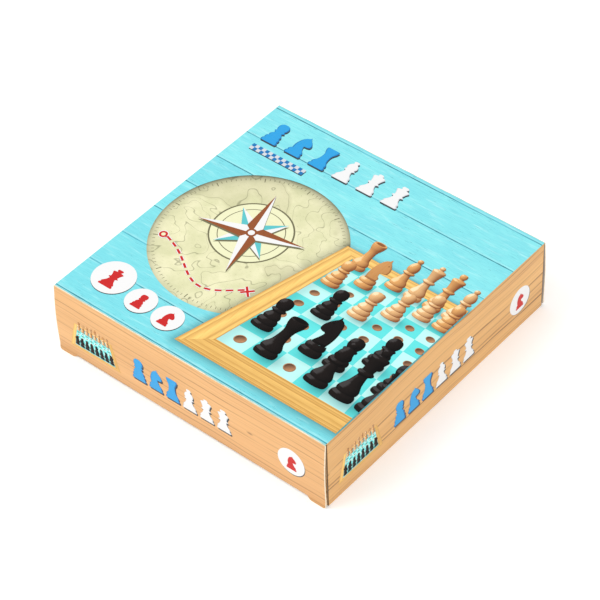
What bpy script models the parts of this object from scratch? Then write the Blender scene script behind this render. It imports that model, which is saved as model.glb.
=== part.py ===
"""Travel chess set: a folding tuck-end carton that holds a framed peg board and its 32 pegged pieces.

Frame: metres, +Z up, origin on the ground at the middle of the carton. The front end closure faces -Y.
The set is sized from the inside out: pieces, board, then the carton around them.
"""

import math

import bmesh
import bpy
from mathutils import Vector

MM = 0.001

# Clearances shared by everything
SEAT_GAP = 0.2 * MM  # between a piece and the face that it stands on
SEAM_GAP = 0.1 * MM  # between two glued or butted pieces
FLAP_GAP = 0.3 * MM  # between two cardboard layers that slide over each other

# Chess pieces: heights from the seat up to the top, and widths across the base
KING_HEIGHT = 27.6 * MM
QUEEN_HEIGHT = 25.5 * MM
BISHOP_HEIGHT = 23.2 * MM
KNIGHT_HEIGHT = 21.8 * MM
ROOK_HEIGHT = 19.8 * MM
PAWN_HEIGHT = 17.2 * MM
KING_BASE = 14.0 * MM
QUEEN_BASE = 13.6 * MM
BISHOP_BASE = 13.0 * MM
KNIGHT_BASE = 13.2 * MM
ROOK_BASE = 13.2 * MM
PAWN_BASE = 12.0 * MM
KNIGHT_THICKNESS = 6.0 * MM
PEG_WIDTH = 6.2 * MM
PEG_LENGTH = 4.8 * MM
PEG_TRAVEL = 5.2 * MM  # lifts a peg clear of its hole
TURNED_SIDES = 10

# Board: square field, drilled plate, backing and the mitred frame around them
SQUARE = 17.5 * MM
SQUARES_PER_SIDE = 8
PEG_CLEARANCE = 0.3 * MM  # all round a peg
HOLE_SIDES = 12
PLATE_THICKNESS = 5.6 * MM
BACKING_THICKNESS = 2.0 * MM
RAIL_WIDTH = 16.0 * MM
RAIL_HEIGHT = 10.4 * MM
RABBET_WIDTH = 4.0 * MM  # how far the frame's lip covers the plate
LIP_THICKNESS = 2.2 * MM
MITRE_GAP = 0.1 * MM

# Carton: one printed sheet, folded into a sleeve with a tucked closure at each end
SHEET = 0.5 * MM
SIDE_ROOM = 3.5 * MM  # between the frame and a side panel
END_ROOM = 2.7 * MM  # between the frame and a dust flap
HEAD_ROOM = 0.45 * MM  # over a lifted king
TUCK_RISE = 2.3 * MM  # from the bottom panel up to the tuck flap, for its tip to dip as it comes out
TUCK_LENGTH = 9.5 * MM
TUCK_TAPER = 4.0 * MM
FOOT_WIDTH = 12.0 * MM  # beside each slit, where the closure isn't folded
FOOT_CLEARANCE = 0.3 * MM
FOOT_CORNER = 1.6 * MM
DUST_LENGTH = 40.0 * MM
DUST_CORNER = 6.0 * MM
DUST_CLEARANCE = 0.6 * MM
DUST_SLOPE_SHARE = 0.55  # fall of a dust flap's top edge along its length
GLUE_FLAP_WIDTH = 12.0 * MM

# Rules leaflet: one sheet folded once, under the board
LEAFLET_WIDTH = 105.0 * MM
LEAFLET_DEPTH = 148.0 * MM
LEAFLET_SHEET = 0.2 * MM
LEAFLET_GAP = 0.2 * MM

# Sizes that follow from those above
CREASE = SHEET / 2 + SEAM_GAP  # from a fold's axis to the edge of each panel beside it
FIELD = SQUARE * SQUARES_PER_SIDE
BOARD_SIDE = FIELD + 2 * RAIL_WIDTH
CARTON_WIDTH = BOARD_SIDE + 2 * (SIDE_ROOM + SHEET)
CARTON_DEPTH = BOARD_SIDE + 2 * (END_ROOM + 2 * SHEET + FLAP_GAP)
TUCK_Z = SHEET + TUCK_RISE + SHEET / 2
RAIL_Z = TUCK_Z + SHEET / 2 + FLAP_GAP
RABBET_HEIGHT = RAIL_HEIGHT - LIP_THICKNESS
FIELD_Z = RAIL_Z + RABBET_HEIGHT - SEAT_GAP
PIECE_Z = FIELD_Z + SEAT_GAP
CARTON_HEIGHT = PIECE_Z + KING_HEIGHT + PEG_TRAVEL + HEAD_ROOM + SHEET
FOLD_Z = CARTON_HEIGHT - SHEET / 2  # height of the closures' fold axes
CLOSURE_Y = CARTON_DEPTH / 2 - SHEET / 2  # distance of the closures' fold axes
DUST_Y = CARTON_DEPTH / 2 - SHEET - FLAP_GAP - SHEET / 2
DUST_X = CARTON_WIDTH / 2 - SHEET / 2

# Turned profiles: (share of half the base width, share of the height), from the seat upwards
PAWN_SHARES = [
    (0.94, 0.0), (1.0, 0.05), (1.0, 0.13), (0.80, 0.20), (0.84, 0.27), (0.66, 0.35),
    (0.50, 0.52), (0.68, 0.57), (0.50, 0.63), (0.66, 0.72), (0.68, 0.84), (0.46, 0.95),
]
ROOK_SHARES = [
    (0.94, 0.0), (1.0, 0.05), (1.0, 0.14), (0.78, 0.22), (0.60, 0.36), (0.48, 0.58),
    (0.52, 0.70), (0.74, 0.75), (0.78, 0.98), (0.70, 1.0), (0.56, 1.0), (0.44, 0.90),
]
BISHOP_SHARES = [
    (0.94, 0.0), (1.0, 0.04), (1.0, 0.11), (0.80, 0.16), (0.62, 0.28), (0.42, 0.48),
    (0.66, 0.55), (0.50, 0.60), (0.62, 0.68), (0.48, 0.82), (0.24, 0.88), (0.32, 0.94),
    (0.18, 0.99),
]
QUEEN_SHARES = [
    (0.94, 0.0), (1.0, 0.04), (1.0, 0.10), (0.80, 0.15), (0.64, 0.25), (0.42, 0.46),
    (0.68, 0.53), (0.50, 0.57), (0.52, 0.66), (0.74, 0.84), (0.60, 0.88), (0.28, 0.91),
    (0.32, 0.95), (0.18, 0.99),
]
KING_SHARES = [
    (0.94, 0.0), (1.0, 0.04), (1.0, 0.10), (0.80, 0.15), (0.64, 0.24), (0.44, 0.46),
    (0.70, 0.52), (0.52, 0.56), (0.54, 0.64), (0.76, 0.80), (0.58, 0.85), (0.30, 0.87),
    (0.40, 0.92), (0.34, 0.99),
]
KNIGHT_BASE_SHARES = [
    (0.94, 0.0), (1.0, 0.05), (1.0, 0.13), (0.82, 0.20), (0.72, 0.29),
]
# Horse head in side view: (share of half the base width forward, share of the height)
KNIGHT_HEAD_SHARES = [
    (-0.62, 0.24), (0.62, 0.24), (0.50, 0.40), (0.34, 0.52), (0.62, 0.56), (0.94, 0.60),
    (1.00, 0.70), (0.78, 0.80), (0.34, 0.92), (0.16, 1.00), (0.00, 0.93), (-0.34, 0.86),
    (-0.66, 0.66), (-0.74, 0.44),
]

# Frame moulding in section: (share of the width from the outer side, share of the height)
MOULDING_SHARES = [
    (0.96, 0.95), (0.88, 1.0), (0.80, 0.97), (0.76, 0.92), (0.68, 0.98), (0.52, 1.0),
    (0.36, 0.96), (0.24, 0.87), (0.20, 0.80), (0.12, 0.80), (0.04, 0.76), (0.0, 0.70),
]

LIGHT_WOOD = ((0.80, 0.56, 0.30), 0.45)
DARK_WOOD = ((0.03, 0.022, 0.02), 0.35)
FRAME_WOOD = ((0.86, 0.58, 0.22), 0.45)
PRINTED_PLATE = ((0.42, 0.86, 0.86), 0.5)
HARDBOARD = ((0.42, 0.28, 0.17), 0.8)
WOOD_PRINT = ((0.86, 0.60, 0.36), 0.4)
TEAL_PRINT = ((0.36, 0.84, 0.92), 0.4)
PAPER = ((0.90, 0.89, 0.85), 0.7)


def clear_scene():
    for old in list(bpy.data.objects):
        bpy.data.objects.remove(old)


def finish_of(name, colour_and_roughness):
    """A material with the part's colour and roughness, made for one object."""
    colour, roughness = colour_and_roughness
    made = bpy.data.materials.new(name)
    made.use_nodes = True
    shader = made.node_tree.nodes["Principled BSDF"]
    shader.inputs["Base Color"].default_value = (*colour, 1.0)
    shader.inputs["Roughness"].default_value = roughness
    shader.inputs["Metallic"].default_value = 0.0
    return made


def add_object(name, mesh, origin, look):
    obj = bpy.data.objects.new(name, mesh)
    obj.location = origin
    if not mesh.materials:
        mesh.materials.append(finish_of(name, look))
    bpy.context.scene.collection.objects.link(obj)
    return obj


def mesh_of(name, shape):
    """Turns a bmesh into a mesh with its faces pointing out."""
    bmesh.ops.recalc_face_normals(shape, faces=shape.faces)
    mesh = bpy.data.meshes.new(name)
    shape.to_mesh(mesh)
    shape.free()
    return mesh


def block(name, low, high, look):
    """A rectangular panel between two corners, with its origin at its middle."""
    low, high = Vector(low), Vector(high)
    shape = bmesh.new()
    bmesh.ops.create_cube(shape, size=1.0)
    bmesh.ops.scale(shape, vec=high - low, verts=shape.verts)
    return add_object(name, mesh_of(name, shape), (low + high) / 2, look)


def extruded(name, outline, along, look, origin):
    """A closed outline of 3-D points, pushed along a vector. Points are measured from the origin."""
    shape = bmesh.new()
    face = shape.faces.new([shape.verts.new(point) for point in outline])
    moved = bmesh.ops.extrude_face_region(shape, geom=[face])["geom"]
    pushed = [item for item in moved if isinstance(item, bmesh.types.BMVert)]
    bmesh.ops.translate(shape, vec=along, verts=pushed)
    return add_object(name, mesh_of(name, shape), origin, look)


def rounded_corner(centre, radius, start_deg, end_deg, steps=4):
    """Points on an arc in the plane of an outline."""
    angles = [
        math.radians(start_deg + (end_deg - start_deg) * step / steps)
        for step in range(steps + 1)
    ]
    return [
        (centre[0] + radius * math.cos(angle), centre[1] + radius * math.sin(angle))
        for angle in angles
    ]


# Carton sleeve


def side_panel(name, side):
    """A side wall of the sleeve, between the bottom and the top panel."""
    outer = side * CARTON_WIDTH / 2
    inner = side * (CARTON_WIDTH / 2 - SHEET)
    end = DUST_Y - CREASE
    return block(
        name,
        (min(outer, inner), -end, SHEET + SEAM_GAP),
        (max(outer, inner), end, CARTON_HEIGHT - SHEET - SEAM_GAP),
        WOOD_PRINT,
    )


def sleeve():
    """The four walls of the sleeve and the flap that glues them into a tube."""
    half_width = CARTON_WIDTH / 2
    bottom_end = CARTON_DEPTH / 2 - SHEET - FLAP_GAP
    top_end = CLOSURE_Y - CREASE
    block(
        "bottom_panel",
        (-half_width, -bottom_end, 0.0),
        (half_width, bottom_end, SHEET),
        WOOD_PRINT,
    )
    block(
        "top_panel",
        (-half_width, -top_end, CARTON_HEIGHT - SHEET),
        (half_width, top_end, CARTON_HEIGHT),
        TEAL_PRINT,
    )
    side_panel("left_side_panel", -1)
    side_panel("right_side_panel", 1)
    glue_edge = -half_width + SHEET + SEAM_GAP
    glue_end = bottom_end - TUCK_LENGTH - SHEET
    block(
        "glue_flap",
        (glue_edge, -glue_end, SHEET + SEAM_GAP),
        (glue_edge + GLUE_FLAP_WIDTH, glue_end, 2 * SHEET + SEAM_GAP),
        WOOD_PRINT,
    )


# Carton ends


def closure_outline():
    """Half of an end closure, seen from outside, from its fold down to the middle of the tuck fold.

    Points are (x, z) from the fold's axis, on the +x side.
    """
    half_width = CARTON_WIDTH / 2
    foot_z = FOOT_CLEARANCE - FOLD_Z
    fold_z = TUCK_Z + CREASE - FOLD_Z
    slit_x = half_width - FOOT_WIDTH
    corner = rounded_corner(
        (half_width - FOOT_CORNER, foot_z + FOOT_CORNER), FOOT_CORNER, 0, -90
    )
    return [(half_width, -CREASE), *corner, (slit_x, foot_z), (slit_x, fold_z)]


def closure(name, end):
    """An end wall, hinged on the top panel, with a foot beside each end of its tuck fold."""
    right = closure_outline()
    left = [(-x, z) for x, z in reversed(right)]
    outline = [(x, -SHEET / 2, z) for x, z in right + left]
    origin = (0.0, end * CLOSURE_Y, FOLD_Z)
    return extruded(name, outline, (0.0, SHEET, 0.0), WOOD_PRINT, origin)


def tuck_flap(name, end):
    """The flap below a closure that goes in over the bottom panel, with its corners cut back."""
    half = CARTON_WIDTH / 2 - FOOT_WIDTH - FLAP_GAP
    inwards = -end
    shape = [(half, CREASE), (half, TUCK_LENGTH - TUCK_TAPER), (half - TUCK_TAPER, TUCK_LENGTH)]
    shape += [(-x, y) for x, y in reversed(shape)]
    outline = [(x, inwards * y, -SHEET / 2) for x, y in shape]
    origin = (0.0, end * CLOSURE_Y, TUCK_Z)
    return extruded(name, outline, (0.0, 0.0, SHEET), WOOD_PRINT, origin)


def dust_flap(name, end, side):
    """A flap folded in from a side panel, behind the closure.

    Its top edge falls away from the fold, so that it clears the closure as both swing out.
    """
    inwards = -side
    low = RAIL_Z + DUST_CLEARANCE - SHEET
    high = CARTON_HEIGHT - SHEET - DUST_CLEARANCE
    tip_high = high - DUST_SLOPE_SHARE * DUST_LENGTH
    shape = [
        (CREASE, low),
        (DUST_LENGTH - DUST_CORNER, low),
        (DUST_LENGTH, low + DUST_CORNER),
        (DUST_LENGTH, tip_high),
        (CREASE, high),
    ]
    outline = [(inwards * x, -SHEET / 2, z) for x, z in shape]
    origin = (side * DUST_X, end * DUST_Y, 0.0)
    return extruded(name, outline, (0.0, SHEET, 0.0), WOOD_PRINT, origin)


def carton_end(word, end):
    closure(f"{word}_closure", end)
    tuck_flap(f"{word}_tuck_flap", end)
    dust_flap(f"{word}_left_dust_flap", end, -1)
    dust_flap(f"{word}_right_dust_flap", end, 1)


# Leaflet


def leaflet():
    """The rules sheet, folded once, lying on the bottom panel."""
    half = LEAFLET_WIDTH / 2
    thick = 2 * LEAFLET_SHEET + LEAFLET_GAP
    fold = LEAFLET_SHEET
    section = [
        (-half, 0.0),
        (half, 0.0),
        (half, LEAFLET_SHEET),
        (-half + fold, LEAFLET_SHEET),
        (-half + fold, thick - LEAFLET_SHEET),
        (half, thick - LEAFLET_SHEET),
        (half, thick),
        (-half, thick),
    ]
    outline = [(x, -LEAFLET_DEPTH / 2, z) for x, z in section]
    origin = (0.0, 0.0, SHEET + SEAT_GAP)
    return extruded("rules_leaflet", outline, (0.0, LEAFLET_DEPTH, 0.0), PAPER, origin)


# Board


def rail_section():
    """The frame moulding, with the rabbet that the plate and the backing sit in."""
    rabbet_x = RAIL_WIDTH - RABBET_WIDTH
    low = [
        (0.0, 0.0),
        (rabbet_x, 0.0),
        (rabbet_x, RABBET_HEIGHT),
        (RAIL_WIDTH, RABBET_HEIGHT),
        (RAIL_WIDTH, RABBET_HEIGHT + LIP_THICKNESS / 2),
    ]
    return low + [(across * RAIL_WIDTH, up * RAIL_HEIGHT) for across, up in MOULDING_SHARES]


def rail(name, turn_deg):
    """One side of the frame, with both ends mitred, built along X and turned into place."""
    section = rail_section()
    half = BOARD_SIDE / 2
    shape = bmesh.new()
    ends = []
    for sign in (-1, 1):
        ring = [
            shape.verts.new((sign * (half - across - MITRE_GAP), across, up))
            for across, up in section
        ]
        ends.append(ring)
        shape.faces.new(ring)
    count = len(section)
    for index in range(count):
        after = (index + 1) % count
        shape.faces.new((ends[0][index], ends[0][after], ends[1][after], ends[1][index]))
    turn = math.radians(turn_deg)
    place = (half * math.sin(turn), -half * math.cos(turn), RAIL_Z)
    obj = add_object(name, mesh_of(name, shape), place, FRAME_WOOD)
    obj.rotation_euler = (0.0, 0.0, turn)


def drilled_plate():
    """The playing field, with a peg hole drilled through the middle of every square."""
    half = FIELD / 2 + RABBET_WIDTH - FLAP_GAP
    low = FIELD_Z - PLATE_THICKNESS
    plate = block("drilled_plate", (-half, -half, low), (half, half, FIELD_Z), PRINTED_PLATE)
    drills = bmesh.new()
    radius = PEG_WIDTH / 2 + PEG_CLEARANCE
    for column in range(SQUARES_PER_SIDE):
        for row in range(SQUARES_PER_SIDE):
            drill = bmesh.ops.create_cone(
                drills,
                cap_ends=True,
                segments=HOLE_SIDES,
                radius1=radius,
                radius2=radius,
                depth=2 * PLATE_THICKNESS,
            )
            bmesh.ops.translate(drills, vec=square_middle(column, row, 0.0), verts=drill["verts"])
    middle = (0.0, 0.0, FIELD_Z - PLATE_THICKNESS / 2)
    cutter = add_object("peg_drills", mesh_of("peg_drills", drills), middle, HARDBOARD)
    cutter.hide_render = True
    cutter.display_type = "WIRE"
    cut = plate.modifiers.new("Peg holes", "BOOLEAN")
    cut.operation = "DIFFERENCE"
    cut.solver = "EXACT"
    cut.object = cutter


def board():
    """The plate on its backing board, held by the four rails of the frame."""
    drilled_plate()
    half = FIELD / 2 + RABBET_WIDTH - FLAP_GAP
    high = FIELD_Z - PLATE_THICKNESS - SEAT_GAP
    block("backing_board", (-half, -half, high - BACKING_THICKNESS), (half, half, high), HARDBOARD)
    for name, turn_deg in (
        ("front_rail", 0),
        ("right_rail", 90),
        ("rear_rail", 180),
        ("left_rail", 270),
    ):
        rail(name, turn_deg)


def square_middle(column, row, height):
    """Middle of a square: columns run along X from the light side, rows along Y."""
    start = (1 - SQUARES_PER_SIDE) / 2
    return Vector(((start + column) * SQUARE, (start + row) * SQUARE, height))


# Pieces


def turned_mesh(name, shares, base, height, flat_top=False):
    """A turned piece with its peg: rings of points from the peg's end up to a point or a flat top."""
    peg = PEG_WIDTH / 2
    rings = [(peg, -PEG_LENGTH), (peg, 0.0)]
    rings += [(share * base / 2, up * height) for share, up in shares]
    shape = bmesh.new()
    loops = []
    for radius, up in rings:
        loop = []
        for side in range(TURNED_SIDES):
            angle = 2 * math.pi * side / TURNED_SIDES
            loop.append(shape.verts.new((radius * math.cos(angle), radius * math.sin(angle), up)))
        loops.append(loop)
    for lower, upper in zip(loops, loops[1:]):
        for side in range(TURNED_SIDES):
            after = (side + 1) % TURNED_SIDES
            shape.faces.new((lower[side], lower[after], upper[after], upper[side]))
    shape.faces.new(list(reversed(loops[0])))
    if flat_top:
        shape.faces.new(loops[-1])
        return mesh_of(name, shape)
    top = shape.verts.new((0.0, 0.0, height))
    for side in range(TURNED_SIDES):
        shape.faces.new((loops[-1][side], loops[-1][(side + 1) % TURNED_SIDES], top))
    return mesh_of(name, shape)


def knight_mesh(name):
    """A turned foot with a carved horse head joined to it. The head looks along +X."""
    half = KNIGHT_THICKNESS / 2
    reach = KNIGHT_BASE / 2
    outline = [
        (forward * reach, -half, up * KNIGHT_HEIGHT) for forward, up in KNIGHT_HEAD_SHARES
    ]
    middle = (0.0, 0.0, 0.0)
    head = extruded(name + "_head", outline, (0.0, KNIGHT_THICKNESS, 0.0), LIGHT_WOOD, middle)
    mesh = turned_mesh(name + "_foot", KNIGHT_BASE_SHARES, KNIGHT_BASE, KNIGHT_HEIGHT, True)
    foot = add_object(name + "_foot", mesh, middle, LIGHT_WOOD)
    join = foot.modifiers.new("Head", "BOOLEAN")
    join.operation = "UNION"
    join.solver = "EXACT"
    join.object = head
    graph = bpy.context.evaluated_depsgraph_get()
    whole = bpy.data.meshes.new_from_object(foot.evaluated_get(graph))
    whole.materials.clear()
    bpy.data.objects.remove(foot)
    bpy.data.objects.remove(head)
    return whole


def piece_meshes(colour):
    """One mesh for each kind of piece, shared by the pieces of one colour."""
    return {
        "pawn": turned_mesh(colour + "_pawn", PAWN_SHARES, PAWN_BASE, PAWN_HEIGHT),
        "rook": turned_mesh(colour + "_rook", ROOK_SHARES, ROOK_BASE, ROOK_HEIGHT, True),
        "knight": knight_mesh(colour + "_knight"),
        "bishop": turned_mesh(colour + "_bishop", BISHOP_SHARES, BISHOP_BASE, BISHOP_HEIGHT),
        "queen": turned_mesh(colour + "_queen", QUEEN_SHARES, QUEEN_BASE, QUEEN_HEIGHT),
        "king": turned_mesh(colour + "_king", KING_SHARES, KING_BASE, KING_HEIGHT),
    }


def army(colour, back_column, step, look):
    """Sixteen pieces in their starting squares, each with its origin on its peg's axis."""
    meshes = piece_meshes(colour)
    back_row = ["rook", "knight", "bishop", "queen", "king", "bishop", "knight", "rook"]
    for row, kind in enumerate(back_row):
        file_letter = "abcdefgh"[row]
        spot = square_middle(back_column, row, PIECE_Z)
        piece = add_object(f"{colour}_{kind}_{file_letter}", meshes[kind], spot, look)
        if step < 0:
            piece.rotation_euler = (0.0, 0.0, math.pi)
        spot = square_middle(back_column + step, row, PIECE_Z)
        add_object(f"{colour}_pawn_{file_letter}", meshes["pawn"], spot, look)


def main():
    clear_scene()
    sleeve()
    carton_end("front", -1)
    carton_end("rear", 1)
    leaflet()
    board()
    army("light", 0, 1, LIGHT_WOOD)
    army("dark", SQUARES_PER_SIDE - 1, -1, DARK_WOOD)


main()
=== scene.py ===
"""Looks of the travel chess set: a printed tuck-end carton around a framed peg board and its pieces.

Units are metres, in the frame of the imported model: +Z up, the front closure faces -Y, the plain
side at lower right in the photograph faces +X. Printed pictures are flat shapes on the card.
"""

import math

import bmesh
import bpy
from mathutils import Matrix, Vector


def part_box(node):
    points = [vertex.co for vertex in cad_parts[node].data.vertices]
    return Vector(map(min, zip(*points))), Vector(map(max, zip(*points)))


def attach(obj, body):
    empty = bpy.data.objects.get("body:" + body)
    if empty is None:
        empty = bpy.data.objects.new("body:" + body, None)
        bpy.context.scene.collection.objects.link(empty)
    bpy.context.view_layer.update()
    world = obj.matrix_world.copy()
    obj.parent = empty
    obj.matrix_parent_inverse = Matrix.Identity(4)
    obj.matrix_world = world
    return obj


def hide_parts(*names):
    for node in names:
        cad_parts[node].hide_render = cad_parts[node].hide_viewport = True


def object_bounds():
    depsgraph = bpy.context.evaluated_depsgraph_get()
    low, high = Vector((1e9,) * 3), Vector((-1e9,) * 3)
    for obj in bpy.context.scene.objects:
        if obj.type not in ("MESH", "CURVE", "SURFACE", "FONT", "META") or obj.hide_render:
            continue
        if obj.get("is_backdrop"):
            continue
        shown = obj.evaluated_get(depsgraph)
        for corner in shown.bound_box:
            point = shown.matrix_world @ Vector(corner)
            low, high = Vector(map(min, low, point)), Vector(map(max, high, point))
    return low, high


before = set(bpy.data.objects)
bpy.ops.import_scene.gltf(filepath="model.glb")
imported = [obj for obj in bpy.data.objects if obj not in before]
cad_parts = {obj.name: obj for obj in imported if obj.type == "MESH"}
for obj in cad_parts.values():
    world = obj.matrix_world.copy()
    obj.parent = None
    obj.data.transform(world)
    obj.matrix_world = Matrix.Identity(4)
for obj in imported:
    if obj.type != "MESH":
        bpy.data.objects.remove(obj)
cad_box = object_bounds()

MM = 0.001


def span(node):
    """Lowest and highest corner of a CAD node, as vectors."""
    low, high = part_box(node)
    return Vector(low), Vector(high)


# Sizes read from the frame
TOP_LOW, TOP_HIGH = span("top_panel")
TUCK_LOW, TUCK_HIGH = span("front_tuck_flap")
DUST_LOW, DUST_HIGH = span("front_left_dust_flap")
GLUE_LOW, GLUE_HIGH = span("glue_flap")
PLATE_LOW, PLATE_HIGH = span("drilled_plate")
RAIL_LOW, RAIL_HIGH = span("front_rail")
ROOT = "sleeve_and_board"
SHEET = TOP_HIGH.z - TOP_LOW.z
SIDE = TOP_HIGH.x - TOP_LOW.x
HALF = SIDE / 2
HEIGHT = TOP_HIGH.z
HALF_SHEET = SHEET / 2
FOLD_Z = HEIGHT - HALF_SHEET
FOLD_Y = HALF - HALF_SHEET
TUCK_Z = (TUCK_LOW.z + TUCK_HIGH.z) / 2
DUST_Y = -(DUST_LOW.y + DUST_HIGH.y) / 2
DUST_X = HALF - HALF_SHEET
FOOT_WIDTH = 12 * MM
SLIT_X = HALF - FOOT_WIDTH

# Camera, as fitted to the carton's edges in the photograph
CAMERA_AZIMUTH = math.radians(41.31)
CAMERA_ELEVATION = math.radians(44.50)
CAMERA_ROLL = math.radians(-2.35)
CAMERA_LENS_MM = 153.7
CAMERA_AWAY_SHARE = 7.50  # distances in carton sides
CAMERA_RIGHT_SHARE = -0.0091
CAMERA_UP_SHARE = 0.0757
CAMERA_CLIP = 10 * MM

# Carton
FOLD_RADIUS = 0.55 * MM  # of the sheet's middle at a creased corner
CLOSURE_BOW = 1.1 * MM
CLOSURE_LEAN = 0.55 * MM  # of its lower edge, outwards
CORNER_LEAN = 0.2 * MM  # more than that at the right corner
LIP_Z = 1.1 * MM  # lower edge of a closure between its feet, in front of the tuck fold
FOOT_Z = 0.05 * MM
FOOT_FLARE = 0.7 * MM
FLARE_HEIGHT = 6 * MM
FOOT_CORNER = 1.8 * MM
FOOT_BLEND = 2 * MM  # over which the flare starts beside a slit
FOOT_CURVE = 10 * MM  # run of the curve that a foot's inner edge is cut to
CREASE_GAP = 0.04 * MM  # left open between a crease and the sheet beside it
ROLL_INSET = 0.01 * MM  # of a crease's roll under the sheet's faces
ROLL_SHORT = 0.1 * MM  # of the tuck's crease at each slit
LIP_PAINTED_SHADE_HEIGHT = 11 * MM  # up to where painted shade darkens the print towards the tuck fold
BOW_STEP = 0.05 * MM  # for the slope of the bowed closure
BOTTOM_SHORT = 2.2 * MM  # the photograph shows no bottom panel under the fold
PRINT_LIFT = 0.006 * MM  # between one printed layer and the next
PRINT_CUT = 2 * MM  # height of the bands that a closure's picture is bent in
TUCK_CORNER = 4 * MM
CARD_ARCH = 0.15 * MM  # of the tuck and dust flaps
DUST_SLOPE_SHARE = 0.55  # fall of the dust flap's upper edge along its reach
DUST_CORNER = 6 * MM
DUST_DROP = 2.9 * MM  # how much further down its card reaches beside the tuck flap
DUST_DROP_REACH = 11 * MM  # from the crease in
DUST_DROP_BLEND = 1 * MM  # over which it ends
PER_METRE = 100  # UV units, one for 10 mm

# Steps that the card's meshes are cut into
SLEEVE_ROWS = 90
TOP_COLUMNS, SIDE_COLUMNS, BOTTOM_COLUMNS, GLUE_COLUMNS = 90, 14, 12, 3
CORNER_STEPS = 6
FOLD_COLUMNS, CLOSURE_ROWS = 60, 22
TUCK_COLUMNS, TUCK_ROWS = 60, 6
DUST_COLUMNS, DUST_ROWS = 40, 10
ROLL_STEPS, ROLL_SIDES = 40, 12
DUST_ROLL_STEPS = 12

# Faces that meet at less than these angles are shaded as one surface
CARD_SMOOTH_DEG = 35
ROLL_SMOOTH_DEG = 40
PLATE_SMOOTH_DEG = 30
MOULDING_SMOOTH_DEG = 28
TURNED_SMOOTH_DEG = 32

# Board and pieces
FRAME_WIDTH = 16 * MM
FRAME_LAP = 4 * MM  # of the frame over the plate
BOARD_INSET = 4 * MM  # from the carton's side to the board's
MITRE_GAP = 0.06 * MM
RAIL_GAP = 0.1 * MM  # left at each end of a rail and between it and the plate
SEAM_RUN = 1 * MM  # of the grain over the moulding's last edge
SQUARES = 8
SQUARE = (RAIL_HIGH.x - RAIL_LOW.x + 2 * RAIL_GAP - 2 * FRAME_WIDTH) / SQUARES
HOLE_RADIUS = 3.4 * MM
HOLE_SINK = 0.35 * MM  # depth and width of the countersink
WELD = 0.002 * MM  # points nearer than this are one
PEG_RADIUS = 3.1 * MM
PEG_LENGTH = 4.8 * MM
PEG_CHAMFER = 0.4 * MM
SEAT_DIP = 0.02 * MM  # of the peg's last ring under the seat
TURNED_SIDES = 36
HORSE_THICK = 6.0 * MM
EYE_RADIUS = 0.55 * MM
EYE_SIDES = 12

# Stage
FLOOR_REACH = 3.0  # from its middle to each side
FLOOR_STEPS = 12
FLOOR_Z = -0.05 * MM
LAMP_AIM = (0.0, 0.0, 0.02)
WORLD_STRENGTH = 0.93
FLOOR_GLOW = 0.20
LAMPS = (  # name, place, side of its square, power and colour
    ("key", (-0.7, -0.9, 1.5), 0.9, 10.5, (1.0, 0.99, 0.97)),
    ("fill", (1.4, -0.5, 0.9), 1.0, 1.5, (0.98, 0.99, 1.0)),
)


def make_camera():
    flat = math.cos(CAMERA_ELEVATION)
    back = Vector(
        (
            math.sin(CAMERA_AZIMUTH) * flat,
            -math.cos(CAMERA_AZIMUTH) * flat,
            math.sin(CAMERA_ELEVATION),
        )
    )
    level = Vector((math.cos(CAMERA_AZIMUTH), math.sin(CAMERA_AZIMUTH), 0.0))
    upright = back.cross(level)
    turn = Matrix.Rotation(CAMERA_ROLL, 3, back)
    right, up = turn @ level, turn @ upright
    place = CAMERA_AWAY_SHARE * back + CAMERA_RIGHT_SHARE * right + CAMERA_UP_SHARE * up
    data = bpy.data.cameras.new("camera")
    data.lens = CAMERA_LENS_MM
    data.clip_start = CAMERA_CLIP
    camera = bpy.data.objects.new("camera", data)
    camera.matrix_world = Matrix.Translation(SIDE * place) @ Matrix(
        (right, up, back)
    ).transposed().to_4x4()
    bpy.context.scene.collection.objects.link(camera)
    bpy.context.scene.camera = camera


# Materials


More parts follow.
